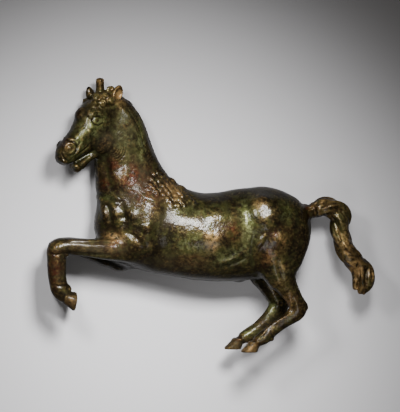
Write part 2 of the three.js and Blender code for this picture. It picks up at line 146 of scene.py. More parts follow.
class Course:
    """A smooth line through a limb's stations, with the half depth and half width along it."""

    HEADING_STEP = 0.002

    def __init__(self, stations: Sequence[Station]) -> None:
        """Keeps the stations, with one more put beyond each end.

        Args:
            stations: x, y, z, half depth and half width of each station.
        """
        rows = np.array(stations, float)
        before = 2 * rows[0] - rows[1]
        after = 2 * rows[-1] - rows[-2]
        self.rows = np.vstack([before, rows, after])
        self.stretches = len(rows) - 1

    @classmethod
    def along(cls, path: Profile) -> "Course":
        """Returns the course of a line in the profile plane."""
        return cls([(x, 0, z, 1, 1) for x, z in path])

    def at(self, t: float) -> np.ndarray:
        """Finds a place on the line.

        Args:
            t: Share of the way, from 0 at the start to 1 at the end.

        Returns:
            X, Y, Z, half depth and half width there.
        """
        place = min(max(t, 0.0), 1.0) * self.stretches
        i = min(int(place), self.stretches - 1)
        u = place - i
        a, b, c, d = self.rows[i:i + 4]
        bend = 2 * a - 5 * b + 4 * c - d
        twist = 3 * (b - c) + d - a
        return 0.5 * (2 * b + (c - a) * u + bend * u * u + twist * u ** 3)

    def heading(self, t: float) -> Vector:
        """Returns the direction along the line at t."""
        run = self.at(min(t + self.HEADING_STEP, 1.0)) - self.at(max(t - self.HEADING_STEP, 0.0))
        return Vector(run[:3]).normalized()

    def ring(self, t: float, shrink: float = 1.0, advance: float = 0.0) -> Matrix:
        """Places a unit circle round the line at t.

        Args:
            t: Place along the line.
            shrink: Factor on both half sizes.
            advance: Shift along the line, in half depths.

        Returns:
            The matrix whose X is the half depth, Y the half width and Z the heading.
        """
        x, y, z, depth, width = self.at(t)
        along = self.heading(t)
        across = (ACROSS - along * along.y).normalized()
        up = along.cross(across)
        at = Vector((x, y, z)) + along * (advance * depth)
        turn = Matrix((up * depth * shrink, across * width * shrink, along)).transposed().to_4x4()
        return Matrix.Translation(at) @ turn


@dataclass(frozen=True)
class Stroke:
    """A line cut into the skin or raised on it, given in the profile plane.

    A negative height is a cut. The line is dropped on the skin from the side, as marks about
    half a millimetre apart, and fades out within a few of its widths.
    """

    SPACING = 0.5
    DROPPED_FROM = 70
    BLUNT_END = 0.04
    FADED_OUT = 2.6

    path: Profile
    width: float
    height: float
    relief: Relief = Relief.BOTH

    def marks(self, side: Side, move: Matrix, skin: BVHTree) -> tuple[np.ndarray, np.ndarray]:
        """Drops the line on the skin.

        Args:
            side: The side of the horse that it is dropped on.
            move: Turn of the part that it belongs to.
            skin: The skin's faces.

        Returns:
            Places on the skin, and the strength at each, which tapers to both ends.
        """
        line = Course.along(self.path)
        length = sum(math.dist(a, b) for a, b in zip(self.path, self.path[1:]))
        count = max(4, int(length / self.SPACING))
        inwards = (move.to_3x3() @ (ACROSS * -side)).normalized()
        places, strengths = [], []
        for i in range(count + 1):
            t = i / count
            x, _, z, _, _ = line.at(t)
            hit, _, _, _ = skin.ray_cast(move @ Vector((x, side * self.DROPPED_FROM, z)), inwards)
            if hit is not None:
                places.append(hit)
                inner = min(max(t, self.BLUNT_END), 1 - self.BLUNT_END)
                strengths.append(math.sin(math.pi * inner) ** 0.5)
        return np.array(places), np.array(strengths)

    def shift(self, side: Side, move: Matrix, skin: BVHTree, points: np.ndarray) -> np.ndarray:
        """Works out how far the stroke moves each vertex along its normal.

        Args:
            side: The side of the horse that it is dropped on.
            move: Turn of the part that it belongs to.
            skin: The skin's faces.
            points: Places of the skin's vertices.

        Returns:
            The shift of each vertex.
        """
        shift = np.zeros(len(points))
        places, strengths = self.marks(side, move, skin)
        if not len(places):
            return shift
        reach = self.FADED_OUT * self.width
        low, high = places.min(axis=0) - reach, places.max(axis=0) + reach
        near = np.nonzero(((points > low) & (points < high)).all(axis=1))[0]
        if not len(near):
            return shift
        gaps = np.linalg.norm(points[near, None, :] - places[None], axis=2)
        closest = gaps.argmin(axis=1)
        gap = gaps[np.arange(len(near)), closest]
        shift[near] = self.height * strengths[closest] * np.exp(-((gap / self.width) ** 2))
        return shift


@dataclass(frozen=True)
class Facet:
    """A flat place on the flesh of the near side, which catches the light as one plane.

    Its place, half sizes and turn lie in the profile plane. It takes in only skin that faces
    roughly its way, and moves nothing by more than its depth.
    """

    DEPTH = 3
    FACING = 0.6

    at: Pair
    half: Pair
    lean_up_deg: float
    lean_front_deg: float
    turn_deg: float
    strength: float

    def shift(self, points: np.ndarray, normals: np.ndarray) -> np.ndarray:
        """Works out how far the facet moves each vertex along its normal.

        Args:
            points: Places of the vertices.
            normals: Their normals.

        Returns:
            The shift of each vertex.
        """
        up, front = math.radians(self.lean_up_deg), math.radians(self.lean_front_deg)
        outwards = Vector((-math.sin(front), -math.cos(front) * math.cos(up), math.sin(up)))
        out = np.array(outwards.normalized())
        facing = normals @ out
        turn = math.radians(self.turn_deg)
        x, z = (points[:, (0, 2)] - np.array(self.at)).T
        along = (x * math.cos(turn) + z * math.sin(turn)) / self.half[0]
        upwards = (z * math.cos(turn) - x * math.sin(turn)) / self.half[1]
        away = along ** 2 + upwards ** 2
        middle = points[np.where(facing > self.FACING, away, np.inf).argmin()]
        sunk = np.clip((middle - points) @ out, -self.DEPTH, self.DEPTH)
        return self.strength * np.exp(-away ** 1.5) * sunk * np.clip(2 * facing - self.FACING, 0, 1)


@dataclass(frozen=True)
class Patch:
    """A rounded zone of one kind of patina, in upright millimetres."""

    at: Point
    half: Point
    tint: Tint
    strength: float

    def reach(self, points: np.ndarray) -> np.ndarray:
        """Returns how strong the patina is at each point."""
        offset = (points - np.array(self.at)) / np.array(self.half)
        return self.strength * np.exp(-(offset ** 2).sum(axis=1))


def as_mesh(shape: bmesh.types.BMesh, name: str) -> bpy.types.Mesh:
    """Turns a finished shape into a mesh.

    Args:
        shape: The shape, which is used up.
        name: Name of the mesh.

    Returns:
        The new mesh.
    """
    mesh = bpy.data.meshes.new(name)
    shape.to_mesh(mesh)
    shape.free()
    return mesh


def placed(name: str, data: bpy.types.ID) -> bpy.types.Object:
    """Puts data in the scene.

    Args:
        name: Name of the object.
        data: Its mesh, lamp or camera.

    Returns:
        The new object, unmoved.
    """
    made = bpy.data.objects.new(name, data)
    bpy.context.scene.collection.objects.link(made)
    return made


def remade(mesh: bpy.types.Mesh, name: str, steps: Sequence[tuple[str, dict]]) -> bpy.types.Mesh:
    """Puts a mesh through modifiers and returns the result as a new mesh.

    Args:
        mesh: What goes in; it is removed afterwards.
        name: Name of the result.
        steps: Each modifier's type and settings.

    Returns:
        The new mesh.
    """
    shape = placed(name + "_work", mesh)
    for kind, settings in steps:
        modifier = shape.modifiers.new(kind.lower(), kind)
        for key, value in settings.items():
            setattr(modifier, key, value)
    graph = bpy.context.evaluated_depsgraph_get()
    result = bpy.data.meshes.new_from_object(shape.evaluated_get(graph))
    result.name = name
    bpy.data.objects.remove(shape)
    bpy.data.meshes.remove(mesh)
    return result


def one_skin(forms: bpy.types.Mesh, name: str, voxel: float, rounds: int) -> bpy.types.Mesh:
    """Takes one closed skin from forms that run into each other.

    Args:
        forms: All forms as one mesh, which is used up.
        name: Name of the skin.
        voxel: Size of the grid that the skin is taken from.
        rounds: How often it is smoothed, to ease the creases between the forms.

    Returns:
        The skin.
    """
    return remade(forms, name, [
        ("REMESH", {"mode": "VOXEL", "voxel_size": voxel}),
        ("SMOOTH", {"factor": 0.5, "iterations": rounds}),
    ])


class Clay:
    """Closed forms in upright millimetres, which are later fused into one skin."""

    DOME_DEG = (80, 60, 40, 20)
    DOME_HEIGHT = 0.6
    BALL_FACETS = (24, 14)
    RING_FACETS = (24, 10)

    def __init__(self) -> None:
        """Starts with nothing."""
        self.forms: list[bpy.types.Mesh] = []

    def keep(self, shape: bmesh.types.BMesh, move: Matrix = UNTURNED) -> None:
        """Stores a finished form.

        Args:
            shape: The form, which is used up.
            move: Where it goes.
        """
        bmesh.ops.transform(shape, matrix=move, verts=shape.verts)
        bmesh.ops.recalc_face_normals(shape, faces=shape.faces)
        self.forms.append(as_mesh(shape, "form"))

    def sweep(self, rings: Sequence[Matrix], sides: int, swell: Swell | None = None) -> None:
        """Adds a closed form that runs through a row of rings.

        Args:
            rings: Each turns and stretches a unit circle into its place.
            sides: Facets round the form.
            swell: Factor on its size.
        """
        shape = bmesh.new()
        verts = bmesh.ops.create_circle(shape, cap_ends=True, segments=sides, radius=1.0)["verts"]
        circle = [vert.co.copy() for vert in verts]
        for i, place in enumerate(rings):
            if i:
                last = set(verts)
                edges = [edge for edge in shape.edges if last.issuperset(edge.verts)]
                grown = bmesh.ops.extrude_edge_only(shape, edges=edges)["geom"]
                new = {item for item in grown if isinstance(item, bmesh.types.BMVert)}
                verts = [
                    next(edge.other_vert(v) for edge in v.link_edges if edge.other_vert(v) in new)
                    for v in verts
                ]
            for vert, unit in zip(verts, circle):
                scale = swell(math.atan2(unit.y, unit.x), i / len(rings)) if swell else 1.0
                vert.co = place @ Vector((unit.x * scale, unit.y * scale, 0.0))
        bmesh.ops.contextual_create(shape, geom=verts)
        self.keep(shape)

    def loft(
        self,
        course: Course,
        steps: int,
        sides: int = 24,
        move: Matrix = UNTURNED,
        swell: Swell | None = None,
    ) -> None:
        """Adds a limb that follows a course, domed at both ends.

        Args:
            course: The line and its sizes.
            steps: Rings along the line.
            sides: Facets round the limb.
            move: Where the finished limb goes.
            swell: Factor on its size.
        """
        turns = [math.radians(a) for a in self.DOME_DEG]
        dome = [(math.cos(a), self.DOME_HEIGHT * math.sin(a)) for a in turns]
        rings = [course.ring(0.0, shrink, -rise) for shrink, rise in dome]
        rings += [course.ring(i / steps) for i in range(steps + 1)]
        rings += [course.ring(1.0, shrink, rise) for shrink, rise in reversed(dome)]
        self.sweep([move @ ring for ring in rings], sides, swell)

    def ball(self, at: Point, half: Point, lean_deg: float = 0.0, move: Matrix = UNTURNED) -> None:
        """Adds an ellipsoid.

        Args:
            at: Its centre.
            half: Half sizes along X, Y and Z.
            lean_deg: Turn in the profile plane.
            move: Where the finished form goes.
        """
        shape = bmesh.new()
        round_it, up_it = self.BALL_FACETS
        bmesh.ops.create_uvsphere(shape, u_segments=round_it, v_segments=up_it, radius=1.0)
        place = move @ Matrix.Translation(at) @ turn_about("Y", lean_deg)
        self.keep(shape, place @ Matrix.Diagonal((*half, 1.0)))

    def balls(self, forms: Iterable[Form], move: Matrix = UNTURNED) -> None:
        """Adds a row of ellipsoids."""
        for at, half, lean_deg in forms:
            self.ball(at, half, lean_deg, move)

    def ring(self, place: Matrix, radius: float, tube: float) -> None:
        """Adds a torus that lies in the XY plane of place.

        Args:
            place: Its centre and turn.
            radius: Centre to the middle of the tube.
            tube: Half thickness of the tube.
        """
        shape = bmesh.new()
        steps, sides = self.RING_FACETS
        upright = Matrix.Translation((radius, 0, 0)) @ turn_about("X", 90)
        bmesh.ops.create_circle(shape, segments=sides, radius=tube, matrix=upright)
        bmesh.ops.spin(
            shape, geom=shape.verts[:] + shape.edges[:], cent=(0, 0, 0), axis=(0, 0, 1),
            angle=2 * math.pi, steps=steps, use_merge=True,
        )
        self.keep(shape, place)

    def fused(self, name: str, voxel: float, rounds: int) -> bpy.types.Mesh:
        """Fuses all forms into one closed skin.

        Args:
            name: Name of the new mesh.
            voxel: Size of the grid that the skin is taken from.
            rounds: How often it is smoothed.

        Returns:
            The skin, in upright millimetres.
        """
        together = bmesh.new()
        for form in self.forms:
            together.from_mesh(form)
            bpy.data.meshes.remove(form)
        return one_skin(as_mesh(together, "all_forms"), name, voxel, rounds)


@dataclass
class Part:
    """A part of the horse: the lines carved in it, where each kind of patina lies, and where shade is
    painted.
    """

    carving: tuple[Stroke, ...] = ()
    worn: tuple[Spot, ...] = ()
    green: tuple[Spot, ...] = ()
    red: tuple[Spot, ...] = ()
    matt: tuple[Spot, ...] = ()
    # Painted shade: near-black spots where there is only shade
    dark: tuple[Spot, ...] = ()

    def move(self) -> Matrix:
        """Returns the turn of the whole part, which only the head has."""
        return UNTURNED

    def strokes(self) -> list[Stroke]:
        """Returns the lines cut into the part or raised on it."""
        return [*self.carving]

    def spots(self) -> list[tuple[Tint, Spot]]:
        """Returns the places of the patina, each with its kind."""
        tables = (self.worn, self.green, self.red, self.matt, self.dark)
        return [(tint, spot) for tint, table in zip(Tint, tables) for spot in table]

    def patches(self) -> list[Patch]:
        """Works out the zones of patina, turned with the part.

        Returns:
            The zones, of all kinds.
        """
        move = self.move()
        return [
            Patch(tuple(move @ Vector(at)), half, tint, strength)
            for tint, (at, half, strength) in self.spots()
        ]


@dataclass
class Body(Part):
    """Trunk, neck and thighs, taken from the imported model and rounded, with their carving."""

    grain: float = 1.5
    rounding: int = 22
    weld: float = 0.01
    # Flesh under the flank, near the middle
    under_flank: tuple[Form, ...] = (((-2, 0, 63.5), (8, 6, 5), 0), ((14.5, -4, 67), (6, 6, 6), 0))
    # Hip, thigh and neck
    planes: tuple[Facet, ...] = (
        Facet((14.0, 120.5), (9.5, 16), 15.1, 7.6, 22, 0.75),
        Facet((23.5, 101), (9.5, 6.5), 16.0, 7.8, -12, 0.66),
        Facet((-106.5, 155), (5.5, 12), 11.8, 15.8, 0, 0.85),
    )
    carving: tuple[Stroke, ...] = (
        # Breast: its swells, then the cuts between them
        Stroke(((-121.5, 130), (-119.8, 122), (-118.5, 114)), 3.6, 1.8),
        Stroke(((-113, 128), (-110.8, 120), (-109.4, 111)), 3.5, 1.6),
        Stroke(((-108, 109), (-104.4, 103)), 4.0, 0.9),
        Stroke(((-99.5, 127), (-97.5, 120), (-96, 113)), 3.8, 1.3),
        Stroke(((-87, 113), (-84.4, 104)), 4.0, 1.3),
        Stroke(((-117, 129), (-115.2, 119), (-114.4, 110)), 1.8, -0.7),
        Stroke(((-106, 130), (-104.4, 121), (-104, 113)), 2.2, -0.7),
        Stroke(((-110, 116.5), (-104, 117.5), (-98, 115)), 2.2, -0.6),
        # Neck: jugular groove, crease at its base, and the shoulder's front edge
        Stroke(((-118.5, 174), (-117, 158), (-115.5, 147), (-113, 140)), 3.0, -0.9),
        Stroke(((-129, 138), (-122, 135.8), (-115.5, 133.4), (-109.5, 129.6)), 2.2, -0.8),
        Stroke(((-128, 134), (-121, 131.6), (-115, 128.6), (-111, 125)), 2.0, 0.6),
        # Shoulder's rear edge and the crease over the elbow
        Stroke(((-66.5, 134), (-70.5, 118), (-77, 105), (-84.2, 95)), 5.0, -0.5),
        Stroke(((-104, 105.5), (-96, 101.5), (-90, 94.9), (-88.6, 88.1)), 2.4, -0.7),
        # Flank groove, crease in front of the thigh, fold of the flank
        Stroke(((2.5, 132), (-0.6, 118), (-1.2, 104), (0.6, 93.7), (4.2, 82)), 7.5, -1.3),
        Stroke(((5.8, 102), (3.7, 91.1), (4.2, 81.7), (7.1, 70)), 2.4, -1.1),
        Stroke(((-23, 78), (-14.4, 80.6), (-7.5, 84), (0.5, 89.5)), 1.9, 1.0),
        Stroke(((-20, 75), (-12, 76.5), (-5, 79), (1, 83)), 1.6, -0.8),
        # Front edge of the haunch and the furrow down the buttock
        Stroke(((18, 104.5), (13.2, 98), (9, 91), (6.8, 84)), 2.4, 1.1),
        Stroke(((17, 102.5), (24, 102), (31, 100.5)), 8.0, 1.1),
        Stroke(((46, 121), (43, 104.5), (39.3, 89.2), (36.7, 76)), 3.2, -0.7),
        Stroke(((30, 121), (26, 112), (22, 106)), 4.5, -0.4),
        Stroke(((26, 79), (30.3, 65.6), (35, 52)), 2.0, -0.8),
        # Swellings: hip bone and haunch, barrel, thigh, windpipe, neck muscle
        Stroke(((8, 128.5), (15, 128.5), (21, 124)), 7.5, 2.2),
        Stroke(((13, 122), (18, 113)), 6.5, 1.3),
        Stroke(((-36, 121.5), (-14, 119.5)), 8.0, 1.5),
        Stroke(((-30, 98), (-14, 97)), 8.0, 1.2),
        Stroke(((24, 128), (25.5, 119), (26, 110)), 6.0, 1.3),
        Stroke(((-124, 166), (-123.2, 156), (-122.8, 149)), 4.0, 1.1),
        Stroke(((-106.5, 192), (-110, 173), (-111.5, 154)), 9.0, 1.8),
    )
    wrinkle: Profile = ((-113.6, 164.2), (-108.5, 164.8), (-104.4, 168), (-102, 173), (-101.4, 178.2))
    wrinkle_middle: Pair = (-115.5, 177.5)
    wrinkle_step: float = 0.135
    wrinkle_count: int = 5
    wrinkle_cut: Pair = (0.6, -0.42)
    first_mark: Pair = (-108.5, 144.5)
    along_marks: Pair = (4.3, -0.35)
    across_marks: float = -4.6
    stagger: float = 1.9
    mark: Profile = ((0, 0), (1.6, -1.2), (3.4, -2.4))
    mark_bends: Pair = (-0.7, 1.0)
    mark_rows: int = 5
    mark_columns: int = 7
    mark_cut: Pair = (0.6, -0.16)
    worn: tuple[Spot, ...] = (
        ((-31, -28, 99), (5, 9, 5), 0.6), ((-29, -28, 92), (3.5, 9, 4), 0.6),
        ((30, -28, 96), (3.5, 9, 4.5), 0.62), ((20, -28, 80), (7, 9, 4), 0.3),
        ((31, -24, 74), (4, 9, 4), 0.5), ((-112, -18, 101), (8, 9, 4), 0.5),
        ((-60, -14, 137), (9, 12, 9), 0.35), ((10, -24, 128), (5, 9, 5), 0.25),
    )
    green: tuple[Spot, ...] = (
        ((0.5, -26, 106), (7, 14, 24), 0.85), ((-50, -28, 93), (12, 12, 9), 0.55),
        ((-22, -28, 82), (20, 14, 9), 0.4), ((-8, -26, 88), (9, 10, 9), 0.5),
        ((-119, -14, 134.5), (6, 9, 2.6), 0.8), ((-103, -12, 190), (9, 9, 20), 0.5),
        ((-88, -10, 178), (4, 8, 26), 0.7), ((-40, -20, 122), (34, 16, 7), 0.25),
        ((36, -24, 122), (8, 12, 8), 0.6), ((30, -20, 70), (8, 12, 18), 0.35),
        ((0, 26, 106), (6, 14, 26), 0.9),
        ((-45, 28, 90), (30, 14, 14), 0.5), ((-88, 10, 178), (4, 8, 26), 0.6),
    )
    red: tuple[Spot, ...] = (
        ((-111, -14, 161), (7, 10, 7), 0.6), ((-120, -14, 146), (5, 9, 5), 0.9),
        ((-94, -16, 150), (14, 12, 12), 0.8), ((-82, -20, 137), (16, 14, 12), 0.6),
        ((-10, -28, 104), (7, 12, 9), 0.7), ((18, -28, 84), (11, 12, 10), 0.5),
        ((-45, -28, 82), (14, 12, 7), 0.4), ((28, -26, 100), (9, 12, 8), 0.4),
        ((-60, 26, 100), (20, 14, 18), 0.5), ((18, 28, 95), (16, 14, 18), 0.4),
    )
    matt: tuple[Spot, ...] = (
        ((-60, -20, 76), (45, 20, 12), 0.8), ((0, -26, 100), (6, 12, 16), 0.7),
        ((-102, -12, 190), (11, 10, 18), 1.0), ((10, 0, 66), (22, 20, 8), 0.6),
        ((-88, -16, 150), (10, 14, 20), 1.0), ((-76, -14, 138), (16, 14, 12), 0.8),
        ((-88, -3, 186), (8, 6, 30), 0.8), ((-96, -18, 134), (13, 14, 12), 0.85),
        ((-70, -26, 117), (9, 12, 9), 0.7), ((-84, -24, 122), (7, 12, 8), 0.5),
        ((-62, -10, 143), (20, 14, 8), 0.5), ((-60, 20, 76), (60, 20, 16), 0.7),
    )

    def build(self, clay: Clay, solid: bpy.types.Object) -> None:
        """Adds the rounded flesh.

        Args:
            clay: What it is added to.
            solid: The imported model's node.
        """
        shape = bmesh.new()
        shape.from_mesh(solid.data)
        bmesh.ops.transform(shape, matrix=LYING.laid_down().inverted(), verts=shape.verts)
        bmesh.ops.remove_doubles(shape, verts=shape.verts, dist=self.weld)
        clay.forms.append(one_skin(as_mesh(shape, "solid"), "flesh", self.grain, self.rounding))
        clay.balls(self.under_flank)

    def strokes(self) -> list[Stroke]:
        """Returns the muscle edges, furrows and folds, the wrinkles and the marks of hair."""
        return [*self.carving, *self.wrinkles(), *self.hair_marks()]

    def wrinkles(self) -> list[Stroke]:
        """Works out the wrinkles tooled below the cheek, each nested in the one before.

        Returns:
            Cuts on the near side.
        """
        inner_x, inner_z = self.wrinkle_middle
        nested = []
        for i in range(self.wrinkle_count):
            share = self.wrinkle_step * i
            path = tuple(
                (x + (inner_x - x) * share, z + (inner_z - z) * share) for x, z in self.wrinkle
            )
            nested.append(Stroke(path, *self.wrinkle_cut, Relief.NEAR_ONLY))
        return nested

    def hair_marks(self) -> list[Stroke]:
        """Works out the short chased marks on the shoulder and the base of the neck.

        Returns:
            Cuts in staggered rows, bent up and down in turn.
        """
        marks = []
        for row in range(self.mark_rows):
            for column in range(self.mark_columns):
                x = self.first_mark[0] + self.along_marks[0] * column + self.stagger * (row % 2)
                z = self.first_mark[1] + self.across_marks * row + self.along_marks[1] * column
                bends = (0, self.mark_bends[(row + column) % 2], 0)
                path = tuple((x + a, z + b + bend) for (a, b), bend in zip(self.mark, bends))
                marks.append(Stroke(path, *self.mark_cut))
        return marks


@dataclass
class Mane(Part):
    """Hogged mane along the crest and the rough hair down to the withers."""

    crest: Limb = (
        (-105, 0, 215, 4, 2.8), (-97, 0, 208, 4.6, 2.8), (-89.5, 0, 196.5, 4.6, 2.8),
        (-83.5, 0, 183, 4.4, 2.8), (-79, 0, 171, 4.2, 3), (-75, 0, 160, 4.4, 3.6),
    )
    notches: int = 26
    notch_depth: float = 0.07
    crest_top: Form = ((-98, 0, 211.5), (5.6, 3.2, 3.8), 38)
    ridge: Profile = ((-73, 156.2), (-68.5, 151.8), (-64.5, 147.9), (-60.2, 145.6), (-56.5, 141.9),
                      (-52.6, 139.6), (-48.7, 136.8), (-44.6, 134.8))
    ridge_half: Point = (3.9, 4.4, 3.0)
    ridge_growth: float = 0.8
    ridge_sway: float = 2.4
    ridge_leans: Point = (40, 26, 12)
    tuft_rows: int = 3
    tufts_a_row: int = 9
    first_tuft: Pair = (-78, 154.5)
    along_row: Pair = (3.9, -2.9)
    across_rows: Pair = (-3.3, -4.4)
    tuft: Profile = ((0, 0), (1.8, -0.8), (2.6, -3.0), (1.0, -4.2))
    tuft_lean: float = 1.3
    tuft_widths: Point = (1.5, 1.8, 2.1)
    tuft_height: float = 1.15
    beside_tuft: Pair = (2.3, 0.9)
    tuft_cut: Pair = (0.8, -0.9)
    edge: Profile = ((-105.5, 215.5), (-98.9, 207.8), (-93.8, 199.2), (-89.4, 190.6), (-86.9, 182),
                     (-84.4, 171.8), (-80.8, 161))
    edge_groove: Pair = (1.0, -0.6)
    inside_edge: Pair = (-2.6, -1.2)
    edge_swell: Pair = (1.6, 0.3)
    edge_cuts: int = 30
    edge_cut: Pair = (0.55, -0.3)
    cut_from: float = 0.4
    cut_reach: float = 3.4
    cut_lean: float = 1.8

    def build(self, clay: Clay) -> None:
        """Adds the crest with its cut locks, and the lumps of hair down to the withers.

        Args:
            clay: What they are added to.
        """
        clay.loft(Course(self.crest), steps=90, sides=20, swell=self.notched)
        clay.ball(*self.crest_top)
        depth, width, height = self.ridge_half
        for i, (x, z) in enumerate(self.ridge):
            half = (depth + self.ridge_growth * (i % 2), width, height)
            clay.ball((x, self.ridge_sway * (-1) ** i, z), half, self.ridge_leans[i % 3])

    def notched(self, angle: float, t: float) -> float:
        """Returns the swell of the crest: alike all round, and notched along the way."""
        return 1 + self.notch_depth * math.cos(self.notches * 2 * math.pi * t)

    def tufts(self) -> list[Stroke]:
        """Works out the locks of rough hair on the withers.

        Returns:
            Raised curls with a cut beside each.
        """
        locks = []
        for row in range(self.tuft_rows):
            for i in range(self.tufts_a_row - row):
                x = self.first_tuft[0] + i * self.along_row[0] + row * self.across_rows[0]
                z = self.first_tuft[1] + i * self.along_row[1] + row * self.across_rows[1]
                lean = self.tuft_lean * ((i * 2 + row) % 3 - 1)
                leans = (0, lean, lean, 0)
                curl = tuple((x + a + way, z + b) for (a, b), way in zip(self.tuft, leans))
                right, up = self.beside_tuft
                locks.append(Stroke(curl, self.tuft_widths[(i + 2 * row) % 3], self.tuft_height))
                locks.append(Stroke(tuple((a + right, b + up) for a, b in curl), *self.tuft_cut))
        return locks

    def strokes(self) -> list[Stroke]:
        """Works out the line along the mane's edge, the cuts between its locks, and the tufts.

        Returns:
            The cuts and swells.
        """
        right, up = self.inside_edge
        inner = tuple((x + right, z + up) for x, z in self.edge)
        cuts = [Stroke(self.edge, *self.edge_groove), Stroke(inner, *self.edge_swell)]
        line = Course.along(self.edge)
        for i in range(self.edge_cuts):
            t = (i + 0.5) / self.edge_cuts
            x, _, z, _, _ = line.at(t)
            along = line.heading(t)
            out = Vector((-along.z, 0, along.x)) * (1 if -along.z > 0 else -1)
            start = Vector((x, 0, z)) + out * self.cut_from
            tip = start + out * self.cut_reach - along * self.cut_lean
            cuts.append(Stroke(((start.x, start.z), (tip.x, tip.z)), *self.edge_cut))
        return cuts + self.tufts()


def arc(at: Pair, half: Pair, span_deg: tuple[int, int], step_deg: int = 20) -> Profile:
    """Works out part of an ellipse in the profile plane.

    Args:
        at: Its centre.
        half: Half sizes along X and Z.
        span_deg: Where it starts and ends, from the tail side and upwards.
        step_deg: Angle from point to point.

    Returns:
        The path.
    """
    turns = [math.radians(a) for a in range(span_deg[0], span_deg[1] + 1, step_deg)]
    return tuple((at[0] + half[0] * math.cos(a), at[1] + half[1] * math.sin(a)) for a in turns)


